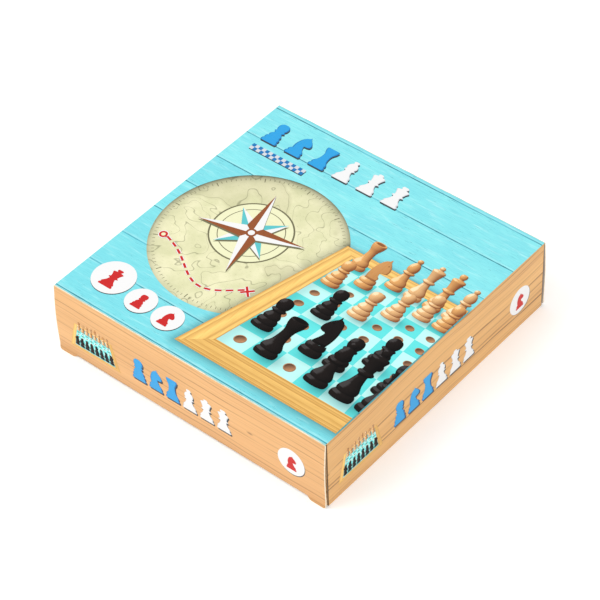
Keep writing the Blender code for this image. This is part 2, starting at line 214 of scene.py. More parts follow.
class Recipe:
    """A material's node tree, with short calls for the nodes that the finishes here use."""

    def __init__(self, name, roughness=0.5):
        self.material = bpy.data.materials.new(name)
        self.material.use_nodes = True
        self.tree = self.material.node_tree
        self.shader = self.tree.nodes["Principled BSDF"]
        self.shader.inputs["Roughness"].default_value = roughness

    def node(self, kind, inputs=None, **settings):
        made = self.tree.nodes.new(kind)
        for key, value in settings.items():
            setattr(made, key, value)
        for key, value in (inputs or {}).items():
            self.feed(made.inputs[key], value)
        return made

    def feed(self, socket, value):
        if isinstance(value, bpy.types.NodeSocket):
            self.tree.links.new(value, socket)
        elif socket.type == "RGBA" and len(value) == 3:
            socket.default_value = (*value, 1.0)
        else:
            socket.default_value = value

    def place(self, stretch=(1.0, 1.0, 1.0), shift=(0.0, 0.0, 0.0), by="UV"):
        """Coordinates of the surface: by UV, one unit is 10 mm; by Object, one unit is a metre."""
        return self.stretch(self.node("ShaderNodeTexCoord").outputs[by], stretch, shift)

    def stretch(self, vector, scale, shift=(0.0, 0.0, 0.0)):
        made = self.node(
            "ShaderNodeMapping", {"Vector": vector, "Scale": scale, "Location": shift}
        )
        return made.outputs["Vector"]

    def waved(self, wave, amount, shift=0.0):
        """UV coordinates whose second part is moved by a wave."""
        u, v, _ = self.parts(self.place(shift=(shift, shift, 0.0)))
        lifted = self.plus(v, self.times(wave, amount))
        return self.vector(u, lifted)

    def noise(self, where, scale, detail=3.0, rough=0.5, distortion=0.0):
        made = self.node(
            "ShaderNodeTexNoise",
            {
                "Vector": where,
                "Scale": scale,
                "Detail": detail,
                "Roughness": rough,
                "Distortion": distortion,
            },
        )
        return made.outputs["Fac"]

    def math(self, operation, first, second=0.0):
        made = self.node("ShaderNodeMath", operation=operation)
        self.feed(made.inputs[0], first)
        self.feed(made.inputs[1], second)
        return made.outputs[0]

    def times(self, first, second):
        return self.math("MULTIPLY", first, second)

    def plus(self, first, second):
        return self.math("ADD", first, second)

    def less(self, first, second):
        return self.math("SUBTRACT", first, second)

    def rest(self, value):
        """What is left of one."""
        return self.less(1.0, value)

    def size(self, value):
        return self.math("ABSOLUTE", value)

    def chance(self, number):
        """Random values for a whole number, the same ones each time."""
        return self.node("ShaderNodeTexWhiteNoise", {"W": number}, noise_dimensions="1D").outputs

    def vector(self, x, y=0.0):
        return self.node("ShaderNodeCombineXYZ", {"X": x, "Y": y}).outputs[0]

    def over(self, base, mask, weight, colour):
        """A colour laid over the base by a mask, with a weight."""
        return self.mix(self.times(mask, weight), base, colour)

    def band(self, factor, low, high):
        """0 below low, 1 above high, smooth between."""
        made = self.node(
            "ShaderNodeMapRange",
            {"Value": factor, "From Min": low, "From Max": high},
            interpolation_type="SMOOTHSTEP",
        )
        return made.outputs["Result"]

    def mix(self, factor, first, second, blend="MIX"):
        made = self.node("ShaderNodeMix", data_type="RGBA", blend_type=blend)
        self.feed(made.inputs["Factor"], factor)
        self.feed(made.inputs[6], first)
        self.feed(made.inputs[7], second)
        return made.outputs[2]

    def shade(self, name="shade"):
        """A number stored on the mesh's points."""
        return self.node("ShaderNodeAttribute", attribute_name=name).outputs["Fac"]

    def parts(self, vector):
        return self.node("ShaderNodeSeparateXYZ", {"Vector": vector}).outputs

    def bump(self, height, strength, distance):
        made = self.node(
            "ShaderNodeBump", {"Height": height, "Strength": strength, "Distance": distance}
        )
        self.feed(self.shader.inputs["Normal"], made.outputs["Normal"])

    def roughness(self, factor, low, high):
        made = self.node(
            "ShaderNodeMapRange", {"Value": factor, "To Min": low, "To Max": high}
        )
        self.feed(self.shader.inputs["Roughness"], made.outputs["Result"])

    def colour(self, value):
        self.feed(self.shader.inputs["Base Color"], value)
        return self.material


CARD_GLOSS = 0.36  # roughness of the varnished print
DARK_INK = 0.1  # inks with no part lighter than this shine less
# Sizes in the UV map's units, 10 mm
PLANKS_IN_10_MM = 0.3984
PLANK_SHIFT = 0.53  # of the first joint, in planks
RUB_ASIDE = 0.02  # the rubbed edge's middle lies this far right
TOP_RUB_LIMIT = 9.015
SIDE_RUB_LIMIT = 8.995


def between(first, second, share):
    """A colour part of the way from one to another."""
    return tuple((1 - share) * a + share * b for a, b in zip(first, second))


def dimmed(colour, share):
    return tuple(share * part for part in colour)


def printed(recipe, colour):
    """Gives a colour the surface that all the printed card shares: fine fibre under a thin varnish."""
    where = recipe.place(by="Object")
    fibre = recipe.noise(where, 900.0, 4.0, 0.6)
    broad = recipe.noise(where, 40.0, 2.0)
    recipe.bump(fibre, 0.06, 0.0004)
    recipe.roughness(broad, CARD_GLOSS - 0.05, CARD_GLOSS + 0.07)
    recipe.shader.inputs["Specular IOR Level"].default_value = 0.22
    return recipe.colour(colour)


def rubbed(recipe, base, reach, limit):
    """Pale card shows where the ink has rubbed off along a fold. reach and limit are in 10 mm."""
    rub = recipe.noise(recipe.place(), 7.0, 4.0, 0.75)
    ragged = recipe.plus(reach, recipe.times(rub, 0.10))
    mask = recipe.times(recipe.band(ragged, limit, limit + 0.04), 0.80)
    return recipe.mix(mask, base, (0.80, 0.74, 0.62))


def planks_print():
    """Teal painted planks along the front edge's direction, with dark joints, grain and specks."""
    recipe = Recipe("planks_print")
    along, across, _ = recipe.parts(recipe.place())
    row = recipe.plus(recipe.times(across, PLANKS_IN_10_MM), PLANK_SHIFT)
    seat = recipe.math("FRACT", row)
    number = recipe.math("FLOOR", row)
    edge = recipe.less(0.5, recipe.size(recipe.less(seat, 0.5)))
    wander = recipe.noise(recipe.place((0.9, 0.5, 1.0)), 1.3, 4.0, 0.6)
    apart = recipe.less(edge, recipe.times(wander, 0.016))
    joint = recipe.rest(recipe.band(apart, -0.004, 0.004))
    comes = recipe.noise(recipe.place((0.22, 0.9, 1.0)), 1.0, 3.0, 0.6)
    comes = recipe.band(comes, 0.36, 0.56)
    joint = recipe.times(joint, recipe.plus(recipe.times(comes, 0.75), 0.25))
    blue = recipe.rest(recipe.band(edge, 0.008, 0.032))
    lip = recipe.band(seat, 0.012, 0.03)
    lip = recipe.times(lip, recipe.rest(recipe.band(seat, 0.03, 0.07)))
    near = recipe.rest(recipe.band(edge, 0.0, 0.16))
    tint = recipe.chance(number)["Value"]
    step = recipe.vector(recipe.times(number, 7.31))

    def grain(stretch, scale, detail=5.0, rough=0.65):
        own = recipe.node("ShaderNodeVectorMath", operation="ADD")
        recipe.feed(own.inputs[0], recipe.place(stretch))
        recipe.feed(own.inputs[1], step)
        return recipe.noise(own.outputs[0], scale, detail, rough, 0.2)

    fine = recipe.band(grain((0.5, 9.0, 1.0), 2.2, 6.0), 0.42, 0.72)
    pale = recipe.band(grain((0.35, 2.6, 1.0), 1.5), 0.50, 0.74)
    cloud = recipe.band(grain((0.25, 0.6, 1.0), 1.2, 3.0), 0.35, 0.65)
    crack = grain((0.9, 15.0, 1.0), 1.5, 5.0, 0.72)
    crack = recipe.plus(crack, recipe.times(near, 0.05))
    crack = recipe.band(crack, 0.625, 0.675)
    specks = recipe.band(grain((3.0, 7.0, 1.0), 2.6, 4.0, 0.75), 0.665, 0.71)
    base = recipe.mix(tint, (0.20, 0.70, 0.76), (0.26, 0.79, 0.82))
    base = recipe.over(base, cloud, 0.40, (0.17, 0.64, 0.74))
    base = recipe.over(base, pale, 0.55, (0.46, 0.88, 0.90))
    base = recipe.over(base, fine, 0.34, (0.09, 0.46, 0.56))
    base = recipe.over(base, crack, 0.70, (0.03, 0.17, 0.21))
    base = recipe.over(base, specks, 0.65, (0.04, 0.12, 0.13))
    base = recipe.over(base, lip, 0.35, (0.50, 0.86, 0.88))
    base = recipe.over(base, blue, 0.40, (0.06, 0.46, 0.62))
    base = recipe.over(base, joint, 0.92, (0.01, 0.075, 0.095))
    base = recipe.over(base, recipe.shade(), 0.85, (0.015, 0.08, 0.09))
    beside = recipe.size(recipe.less(along, RUB_ASIDE))
    reach = recipe.math("MAXIMUM", beside, recipe.size(across))
    return printed(recipe, rubbed(recipe, base, reach, TOP_RUB_LIMIT))


def long_lines(recipe, where, rows, half_width, seed):
    """Thin lines along the grain, one in each row, at uneven heights and coming and going."""
    along, across, _ = recipe.parts(where)
    row = recipe.times(across, rows)
    number = recipe.plus(recipe.math("FLOOR", row), seed)
    first, second, _ = recipe.parts(recipe.chance(number)["Color"])
    middle = recipe.plus(recipe.times(first, 0.76), 0.12)
    gap = recipe.size(recipe.less(recipe.math("FRACT", row), middle))
    line = recipe.rest(recipe.band(gap, half_width, 2.6 * half_width))
    spot = recipe.vector(recipe.times(along, 0.16), recipe.times(number, 3.7))
    comes = recipe.band(recipe.noise(spot, 1.0, 2.0), 0.34, 0.58)
    return recipe.times(line, recipe.times(comes, recipe.plus(second, 0.25)))


def wood_print(name, light, dark, contrast, shift, rows):
    """Pale wood printed on the carton's sides: long thin lines, fine grain and a few knots."""
    recipe = Recipe(name)
    away = (shift, 0.0, 0.0)
    wave = recipe.noise(recipe.place((0.09, 0.22, 1.0), away), 1.0, 2.0)
    waved = recipe.waved(wave, 0.9, shift)
    streaks = recipe.noise(recipe.stretch(waved, (0.05, 1.6, 1.0)), 1.4, 3.0, 0.55)
    broad = recipe.band(streaks, 0.42, 0.64)
    bold = long_lines(recipe, waved, rows, 0.045, shift)
    faint = long_lines(recipe, waved, 1.7 * rows, 0.06, 3 * shift)
    fine = recipe.noise(recipe.stretch(waved, (0.22, 15.0, 1.0)), 1.6, 5.0, 0.62)
    fleck = recipe.band(fine, 0.50, 0.76)
    cloud = recipe.noise(recipe.place((0.12, 0.7, 1.0), away), 0.8, 2.0)
    near = recipe.place((0.35, 1.0, 1.0), (shift, 0.4, 0.0))
    knot = recipe.node("ShaderNodeTexVoronoi", {"Vector": near, "Scale": 0.42}).outputs["Distance"]
    spot = recipe.rest(recipe.band(knot, 0.012, 0.045))
    soft, middle = between(light, dark, 0.22), between(light, dark, 0.5)
    base = recipe.mix(recipe.band(cloud, 0.3, 0.7), light, soft)
    base = recipe.over(base, broad, 0.30 * contrast, middle)
    base = recipe.over(base, fleck, 0.45 * contrast, middle)
    base = recipe.over(base, faint, 0.55 * contrast, dark)
    base = recipe.over(base, bold, contrast, dimmed(dark, 0.6))
    base = recipe.over(base, spot, 0.75, dimmed(dark, 0.45))
    # Painted shade, kept on the mesh as shade: the closures darken towards their tuck fold
    base = recipe.mix(recipe.shade(), base, (0.30, 0.12, 0.04))
    run, _, _ = recipe.parts(recipe.place())
    return printed(recipe, rubbed(recipe, base, recipe.size(run), SIDE_RUB_LIMIT))


def card_inside():
    """Uncoated pale grey card with fibres, as the sheet's inner side shows."""
    recipe = Recipe("card_inside", 0.85)
    where = recipe.place(by="Object")
    cloud = recipe.noise(where, 60.0, 4.0, 0.6)
    fibre = recipe.noise(recipe.place((1.0, 4.0, 1.0), by="Object"), 700.0, 5.0, 0.7)
    speck = recipe.band(recipe.noise(where, 1400.0, 2.0), 0.70, 0.76)
    base = recipe.mix(cloud, (0.62, 0.60, 0.56), (0.72, 0.70, 0.66))
    base = recipe.over(base, fibre, 0.35, (0.50, 0.48, 0.44))
    base = recipe.over(base, speck, 0.5, (0.25, 0.22, 0.19))
    recipe.bump(fibre, 0.25, 0.0003)
    recipe.roughness(cloud, 0.8, 0.92)
    return recipe.colour(base)


def card_edge():
    """The raw cut edge: cream pulp, a little uneven."""
    recipe = Recipe("card_edge", 0.9)
    where = recipe.place(by="Object")
    cloud = recipe.noise(where, 400.0, 4.0, 0.7)
    base = recipe.mix(cloud, (0.80, 0.66, 0.44), (0.95, 0.84, 0.64))
    recipe.bump(cloud, 0.3, 0.0002)
    recipe.roughness(cloud, 0.8, 0.95)
    return recipe.colour(base)


def crease_print(name, ink):
    """Ink over a crease, cracked so that the pale card shows through along the fold."""
    recipe = Recipe(name)
    breaks = recipe.noise(recipe.place((60.0, 900.0, 900.0), by="Object"), 1.0, 4.0, 0.7)
    base = recipe.mix(recipe.band(breaks, 0.40, 0.58), ink, (0.88, 0.80, 0.66))
    return printed(recipe, base)


def dial_print():
    """Pale green-cream paper with faint wandering lines, darkened round its edge as if sunk."""
    recipe = Recipe("dial_print")
    where = recipe.place()
    height = recipe.noise(where, 0.24, 3.0, 0.5, 0.3)
    steps = recipe.math("FRACT", recipe.times(height, 16.0))
    line = recipe.band(recipe.size(recipe.less(steps, 0.5)), 0.455, 0.495)
    high = recipe.band(height, 0.53, 0.56)
    dots = recipe.band(recipe.noise(recipe.place((1.3, 6.0, 1.0)), 3.4, 4.0, 0.75), 0.62, 0.66)
    cloud = recipe.noise(where, 0.5, 4.0, 0.6)
    base = recipe.mix(recipe.band(cloud, 0.3, 0.7), (0.66, 0.66, 0.39), (0.85, 0.82, 0.54))
    base = recipe.over(base, high, 0.32, (0.46, 0.44, 0.25))
    base = recipe.over(base, line, 0.55, (0.17, 0.17, 0.09))
    base = recipe.over(base, dots, 0.50, (0.16, 0.16, 0.10))
    base = recipe.mix(recipe.shade(), base, (0.05, 0.055, 0.035))
    return printed(recipe, base)


def shaded_print(name, dark, light, grain=0.0, stretch=(1.0, 1.0, 1.0), lines=None, bright=None):
    """Ink whose tone follows the picture's own light, kept on the mesh as shade."""
    recipe = Recipe(name)
    tone = recipe.shade()
    base = recipe.mix(tone, dark, light)
    if grain:
        streak = recipe.band(recipe.noise(recipe.place(stretch), 1.4, 5.0, 0.62, 0.2), 0.46, 0.68)
        base = recipe.over(base, streak, grain, lines)
    if bright:
        base = recipe.mix(recipe.band(tone, 0.91, 1.02), base, bright)
    made = printed(recipe, base)
    if max(light) < DARK_INK:
        recipe.shader.inputs["Specular IOR Level"].default_value = 0.08
    return made


def ink(name, colour, spread):
    """A plain printed colour, with the small unevenness of ink on card."""
    recipe = Recipe(name)
    cloud = recipe.noise(recipe.place(), 6.0, 5.0, 0.7)
    low = tuple(max(c - spread * c, 0.0) for c in colour)
    high = tuple(min(c + spread * c, 1.0) for c in colour)
    return printed(recipe, recipe.mix(cloud, low, high))


def solid_wood(name, light, dark, along, gloss):
    """Real wood with its grain along the UV map's second part, or its first where along is True."""
    recipe = Recipe(name, gloss)
    flip = (lambda a, b: (b, a, 1.0)) if along else (lambda a, b: (a, b, 1.0))
    warp = recipe.noise(recipe.place(flip(0.35, 0.10)), 1.0, 2.0)
    source = recipe.waved(warp, 0.6 if along else 0.0)
    growth = recipe.noise(recipe.stretch(source, flip(3.2, 0.10)), 1.3, 3.0, 0.55)
    year = recipe.band(growth, 0.44, 0.60)
    fine = recipe.noise(recipe.stretch(source, flip(14.0, 0.45)), 1.5, 5.0, 0.65)
    fibre = recipe.band(fine, 0.40, 0.75)
    pores = recipe.noise(recipe.stretch(source, flip(34.0, 2.2)), 1.2, 3.0, 0.6)
    pore = recipe.band(pores, 0.64, 0.72)
    base = recipe.over(light, year, 0.60, dark)
    base = recipe.over(base, fibre, 0.40, between(light, dark, 0.5))
    base = recipe.over(base, pore, 0.45, dimmed(dark, 0.4))
    recipe.bump(fine, 0.10, 0.0003)
    recipe.roughness(fine, gloss - 0.08, gloss + 0.12)
    recipe.shader.inputs["Coat Weight"].default_value = 0.20
    recipe.shader.inputs["Coat Roughness"].default_value = 0.25
    return recipe.colour(base)


def hardboard():
    recipe = Recipe("hardboard", 0.8)
    where = recipe.place(by="Object")
    fibre = recipe.noise(where, 500.0, 6.0, 0.7, 0.6)
    cloud = recipe.noise(where, 30.0, 3.0)
    base = recipe.mix(fibre, (0.20, 0.11, 0.055), (0.42, 0.26, 0.14))
    base = recipe.over(base, cloud, 0.4, (0.30, 0.19, 0.10))
    recipe.bump(fibre, 0.4, 0.0004)
    recipe.roughness(fibre, 0.7, 0.9)
    return recipe.colour(base)


def paper():
    """White leaflet paper with a printed grid of small squares."""
    recipe = Recipe("leaflet_paper", 0.7)
    where = recipe.place(by="Object")
    grid = recipe.node(
        "ShaderNodeTexChecker",
        {"Vector": where, "Scale": 160.0, "Color1": (0.86, 0.85, 0.81), "Color2": (0.80, 0.80, 0.77)},
    ).outputs["Color"]
    fibre = recipe.noise(where, 900.0, 4.0, 0.6)
    base = recipe.over(grid, fibre, 0.2, (0.70, 0.69, 0.64))
    recipe.bump(fibre, 0.1, 0.0002)
    recipe.roughness(fibre, 0.6, 0.8)
    return recipe.colour(base)


def painted_square(name, colour):
    """Thin paint on a wooden panel: the grain shows a little."""
    recipe = Recipe(name, 0.45)
    grain = recipe.noise(recipe.place((0.6, 9.0, 1.0)), 1.6, 5.0, 0.6)
    base = recipe.over(colour, recipe.band(grain, 0.5, 0.75), 0.22, dimmed(colour, 0.55))
    recipe.bump(grain, 0.12, 0.0003)
    recipe.roughness(grain, 0.35, 0.55)
    return recipe.colour(base)


# Meshes


def new_piece(name, mesh, body, materials, replaced=(), smooth_deg=None):
    """Links a finished mesh as a piece of the model that moves with a body."""
    for material in materials:
        mesh.materials.append(material)
    if smooth_deg is not None:
        mesh.shade_smooth()
        mesh.set_sharp_from_angle(angle=math.radians(smooth_deg))
    piece = bpy.data.objects.new(name, mesh)
    bpy.context.scene.collection.objects.link(piece)
    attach(piece, body)
    if replaced:
        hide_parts(*replaced)
    return piece


def card_mesh(name, columns, rows, place, shade=None):
    """A sheet of card with thickness, from columns of (u, low v, high v).

    place(u, v) gives a point of the sheet's middle and its outward normal. Faces are 0 outside,
    1 inside and 2 on the cut edge. The UV map is (u, v), one unit for 10 mm.
    """
    shape = bmesh.new()
    chart = shape.loops.layers.uv.new("place")
    tone = shape.verts.layers.float.new("shade")
    spot = {}
    flat = {}
    for c, (u, low, high) in enumerate(columns):
        for r in range(rows + 1):
            v = low + (high - low) * r / rows
            point, normal = place(u, v)
            for layer, sign in ((0, 1), (1, -1)):
                vert = shape.verts.new(point + sign * HALF_SHEET * normal)
                vert[tone] = shade(u, v) if shade else 0.0
                spot[c, r, layer] = vert
                flat[vert] = (PER_METRE * u, PER_METRE * v)
    last = len(columns) - 1

    def face(corners, index):
        made = shape.faces.new([spot[corner] for corner in corners])
        made.material_index = index
        for loop in made.loops:
            loop[chart].uv = flat[loop.vert]

    for c in range(last):
        for r in range(rows):
            ring = [(c, r), (c + 1, r), (c + 1, r + 1), (c, r + 1)]
            face([(*corner, 0) for corner in ring], 0)
            face([(*corner, 1) for corner in reversed(ring)], 1)
        for r in (0, rows):
            face([(c, r, 0), (c, r, 1), (c + 1, r, 1), (c + 1, r, 0)], 2)
    for r in range(rows):
        for c in (0, last):
            face([(c, r, 0), (c, r + 1, 0), (c, r + 1, 1), (c, r, 1)], 2)
    bmesh.ops.recalc_face_normals(shape, faces=shape.faces)
    return finished(shape, name)


def finished(shape, name):
    """A mesh from the faces gathered so far."""
    mesh = bpy.data.meshes.new(name)
    shape.to_mesh(mesh)
    shape.free()
    return mesh


def chart_faces(faces, chart, where):
    """Fills the UV map: where(point) gives a point's place in metres."""
    for face in faces:
        for loop in face.loops:
            u, v = where(loop.vert.co)
            loop[chart].uv = (PER_METRE * u, PER_METRE * v)


def ring_faces(shape, rings):
    """Faces between closed rings of points, from each ring to the next."""
    for first, second in zip(rings, rings[1:]):
        for step in range(len(first)):
            after = (step + 1) % len(first)
            shape.faces.new((first[step], first[after], second[after], second[step]))


def round_ways(count):
    """Cosine and sine of evenly spaced angles, once round."""
    angles = [2 * math.pi * step / count for step in range(count)]
    return [(math.cos(angle), math.sin(angle)) for angle in angles]


def unit(value):
    """The value, kept between 0 and 1."""
    return max(0.0, min(1.0, value))


def spread(start, end, count):
    return [start + (end - start) * step / count for step in range(count + 1)]


# Carton sleeve


def sleeve_path():
    """The sleeve's middle line in the XZ plane, from the bottom's cut edge round to the glue flap.

    Each point is (x, z, outward normal, half length along Y, zone of the outer print).
    """
    far = HALF - HALF_SHEET
    low = HALF_SHEET
    glue_z = (GLUE_LOW.z + GLUE_HIGH.z) / 2
    top_end = FOLD_Y - HALF_SHEET - CREASE_GAP
    side_end = DUST_Y - HALF_SHEET
    bottom_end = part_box("bottom_panel")[1][1] - BOTTOM_SHORT
    glue_end = GLUE_HIGH.y
    points = []

    def straight(start, end, normal, length, zone, count):
        for share in spread(0.0, 1.0, count):
            at = Vector(start).lerp(Vector(end), share)
            points.append((at.x, at.y, Vector(normal), length, zone))

    def corner(centre, from_deg, lengths, zones):
        for step, angle in enumerate(spread(from_deg, from_deg + 90, CORNER_STEPS)[1:-1], 1):
            way = Vector((math.cos(math.radians(angle)), math.sin(math.radians(angle))))
            at = Vector(centre) + FOLD_RADIUS * way
            share = step / CORNER_STEPS
            length = lengths[0] + (lengths[1] - lengths[0]) * share
            points.append((at.x, at.y, way, length, zones[0] if share < 0.5 else zones[1]))

    out, base = far - FOLD_RADIUS, low + FOLD_RADIUS
    roof, seat = FOLD_Z - FOLD_RADIUS, glue_z + FOLD_RADIUS
    straight((-HALF, low), (out, low), (0, -1), bottom_end, "bottom", BOTTOM_COLUMNS)
    corner((out, base), -90, (bottom_end, side_end), ("bottom", "right"))
    straight((far, base), (far, roof), (1, 0), side_end, "right", SIDE_COLUMNS)
    corner((out, roof), 0, (side_end, top_end), ("right", "top"))
    straight((out, FOLD_Z), (-out, FOLD_Z), (0, 1), top_end, "top", TOP_COLUMNS)
    corner((-out, roof), 90, (top_end, side_end), ("top", "left"))
    straight((-far, roof), (-far, seat), (-1, 0), side_end, "left", SIDE_COLUMNS)
    corner((-out, seat), 180, (side_end, glue_end), ("left", "left"))
    straight((-out, glue_z), (GLUE_HIGH.x, glue_z), (0, -1), glue_end, "left", GLUE_COLUMNS)
    return points


def flat_place(zone, x, y, z):
    """Place of a point on its panel's print, for the UV map, in units of 10 mm."""
    if zone in ("top", "bottom"):
        return (PER_METRE * x, PER_METRE * y)
    return (PER_METRE * y, PER_METRE * z)


def sleeve(materials):
    """The tube of card: one sheet creased at its corners, with its glue flap inside."""
    zones = {"top": 0, "right": 1, "left": 2, "bottom": 3}
    path = sleeve_path()
    rows = SLEEVE_ROWS
    shape = bmesh.new()
    chart = shape.loops.layers.uv.new("place")
    tone = shape.verts.layers.float.new("shade")
    grid = {}
    for p, (x, z, way, length, zone) in enumerate(path):
        for r, y in enumerate(spread(-length, length, rows)):
            for layer, sign in ((0, 1), (1, -1)):
                at = Vector((x + sign * HALF_SHEET * way.x, y, z + sign * HALF_SHEET * way.y))
                vert = shape.verts.new(at)
                if zone == "top" and layer == 0:
                    vert[tone] = board_shadow(x, y)
                grid[p, r, layer] = vert

    def face(corners, index, zone):
        made = shape.faces.new([grid[corner] for corner in corners])
        made.material_index = index
        for loop in made.loops:
            loop[chart].uv = flat_place(zone, *loop.vert.co)

    last = len(path) - 1
    for p in range(last):
        zone = path[p][4]
        for r in range(rows):
            ring = [(p, r), (p, r + 1), (p + 1, r + 1), (p + 1, r)]
            face([(*corner, 0) for corner in ring], zones[zone], zone)
            face([(*corner, 1) for corner in reversed(ring)], 4, zone)
        for r in (0, rows):
            rim = zones[zone] if zone in ("left", "right") else 5
            face([(p, r, 0), (p, r, 1), (p + 1, r, 1), (p + 1, r, 0)], rim, zone)
    for p in (0, last):
        for r in range(rows):
            face([(p, r, 0), (p, r + 1, 0), (p, r + 1, 1), (p, r, 1)], 5, path[p][4])
    bmesh.ops.recalc_face_normals(shape, faces=shape.faces)
    mesh = finished(shape, "carton_sleeve")
    nodes = ("top_panel", "right_side_panel", "bottom_panel", "left_side_panel", "glue_flap")
    new_piece("carton_sleeve", mesh, ROOT, materials, nodes, CARD_SMOOTH_DEG)


# Carton ends


def closure_bow(u, v):
    """How far the closure stands out from its plane: bowed, leaning out, with its feet flared."""
    fall = (FOLD_Z - v) / (FOLD_Z - LIP_Z)
    lean = CLOSURE_LEAN + CORNER_LEAN * max(0.0, u / HALF) ** 4
    out = CLOSURE_BOW * math.sin(math.pi * min(fall, 1.0)) + lean * fall**2
    low = max(0.0, 1.0 - v / FLARE_HEIGHT)
    foot = unit((abs(u) - SLIT_X) / FOOT_BLEND)
    return out + FOOT_FLARE * low**2 * foot


def closure_place(end):
    """Maps (x, z) onto the middle of a closure's sheet, with its outward normal."""

    def place(u, v):
        slope = (closure_bow(u, v + BOW_STEP) - closure_bow(u, v - BOW_STEP)) / (2 * BOW_STEP)
        normal = Vector((0.0, end, -slope)).normalized()
        return Vector((u, end * (FOLD_Y + closure_bow(u, v)), v)), normal

    return place


# Inner edge of a foot: (share of its curve's run, share of the rise to the tuck fold)
FOOT_SHARES = (
    (0.0, 0.86), (0.02, 0.70), (0.05, 0.48), (0.11, 0.28), (0.19, 0.12), (0.29, 0.03), (0.40, 0.0),
)


def closure_columns():
    """Columns of a closure, from left to right: feet at both ends, the tuck fold between them."""
    high = FOLD_Z - HALF_SHEET - CREASE_GAP
    fold = LIP_Z + HALF_SHEET
    right = [(SLIT_X + a * FOOT_CURVE, FOOT_Z + b * (fold - FOOT_Z)) for a, b in FOOT_SHARES]
    right += [(u, FOOT_Z) for u in spread(SLIT_X + FOOT_CURVE / 2, HALF - FOOT_CORNER, 3)]
    for angle in spread(75.0, 0.0, 5):
        reach = math.radians(angle)
        out = FOOT_CORNER * math.cos(reach)
        right.append((HALF - FOOT_CORNER + out, FOOT_Z + FOOT_CORNER * (1 - math.sin(reach))))
    middle = [(u, fold) for u in spread(CREASE_GAP - SLIT_X, SLIT_X - CREASE_GAP, FOLD_COLUMNS)]
    left = [(-u, v) for u, v in reversed(right)]
    return [(u, v, high) for u, v in left + middle + right]


def closure_painted_shade(u, v):
    """Painted shade: the print is darkened a little towards the tuck fold, where the sheet turns in."""
    return 0.32 * unit(1.0 - v / LIP_PAINTED_SHADE_HEIGHT) ** 1.5


def closures(word, end, materials):
    """An end closure with its tuck flap and the rolls of card at their creases."""
    body = f"{word}_closure"
    place = closure_place(end)
    name = f"{word}_end_panel"
    # The end panel carries painted shade towards its tuck fold, as its mesh's shade
    mesh = card_mesh(name, closure_columns(), CLOSURE_ROWS, place, closure_painted_shade)
    new_piece(name, mesh, body, materials, (f"{word}_closure",), CARD_SMOOTH_DEG)
    top = [Vector((x, end * FOLD_Y, FOLD_Z)) for x in spread(-HALF, HALF, ROLL_STEPS)]
    crease_roll(f"{word}_top_crease", top, body, "teal_crease")
    half = SLIT_X - ROLL_SHORT
    low_z = LIP_Z + HALF_SHEET
    low = []
    for x in spread(-half, half, ROLL_STEPS):
        low.append(Vector((x, end * (FOLD_Y + closure_bow(x, low_z)), low_z)))
    crease_roll(f"{word}_lip_crease", low, body, "wood_crease")
    tuck(word, end, materials)


def crease_roll(name, line, body, look):
    """The rounded outside of a crease, turned about the fold's own axis."""
    way = (line[-1] - line[0]).normalized()
    first_side = way.cross(Vector((0, 0, 1)) if abs(way.z) < 0.5 else Vector((1, 0, 0)))
    second_side = way.cross(first_side)
    radius = HALF_SHEET - ROLL_INSET
    reaches = [radius * (c * first_side + s * second_side) for c, s in round_ways(ROLL_SIDES)]
    shape = bmesh.new()
    chart = shape.loops.layers.uv.new("place")
    rings = [[shape.verts.new(centre + reach) for reach in reaches] for centre in line]
    ring_faces(shape, rings)
    shape.faces.new(rings[0])
    shape.faces.new(rings[-1])
    chart_faces(shape.faces, chart, lambda at: (at.x + at.y, at.z))
    bmesh.ops.recalc_face_normals(shape, faces=shape.faces)
    new_piece(name, finished(shape, name), body, [LOOKS[look]], (), ROLL_SMOOTH_DEG)


def tuck(word, end, materials):
    """The flap that goes in over the bottom panel, with its corners cut back in curves."""
    reach = TUCK_HIGH.y - TUCK_LOW.y
    start = FOLD_Y - HALF_SHEET
    half = TUCK_HIGH.x
    tip = -TUCK_HIGH.y
    columns = []
    for u in spread(-half, half, TUCK_COLUMNS):
        inset = max(0.0, (abs(u) - (half - TUCK_CORNER)) / TUCK_CORNER)
        back = tip + TUCK_CORNER * (1 - math.sqrt(max(0.0, 1 - inset**2)))
        columns.append((u, back, start))

    def place(u, v):
        arch = CARD_ARCH * math.sin(math.pi * (start - v) / reach)
        return Vector((u, end * v, TUCK_Z + arch)), Vector((0.0, 0.0, -1.0))

    name = f"{word}_tuck_panel"
    mesh = card_mesh(name, columns, TUCK_ROWS, place)
    nodes = (f"{word}_tuck_flap",)
    new_piece(name, mesh, f"{word}_tuck", materials, nodes, CARD_SMOOTH_DEG)


def dust(word, end, side_word, side, materials):
    """A dust flap behind a closure, with a rounded tip and a slanted upper edge."""
    node = f"{word}_{side_word}_dust_flap"
    low, high = span(node)
    reach = high.x - low.x
    start = DUST_X - HALF_SHEET
    tip = start - reach
    columns = []
    for u in spread(start, tip, DUST_COLUMNS):
        out = start - u
        left = max(0.0, DUST_CORNER - max(0.0, u - tip))
        drop = DUST_CORNER - math.sqrt(max(0.0, DUST_CORNER**2 - left**2))
        beside = unit((DUST_DROP_REACH - out) / DUST_DROP_BLEND)
        foot = low.z - DUST_DROP * beside + 0.8 * drop
        columns.append((u, foot, high.z - DUST_SLOPE_SHARE * out - 0.5 * drop))

    def place(u, v):
        lean = CARD_ARCH * math.sin(math.pi * (start - u) / reach)
        return Vector((side * u, end * (DUST_Y - lean), v)), Vector((0.0, end, 0.0))

    mesh = card_mesh(f"{node}_card", columns, DUST_ROWS, place)
    body = f"{word}_{side_word}_dust"
    new_piece(f"{node}_card", mesh, body, materials, (node,), CARD_SMOOTH_DEG)
    line = []
    for z in spread(low.z - DUST_DROP, high.z, DUST_ROLL_STEPS):
        line.append(Vector((side * DUST_X, end * DUST_Y, z)))
    # Its roll is painted shade: a dark brown that stands for the shadowed gap beside the closure
    crease_roll(f"{node}_crease", line, body, "gap_crease")


# Printed pictures


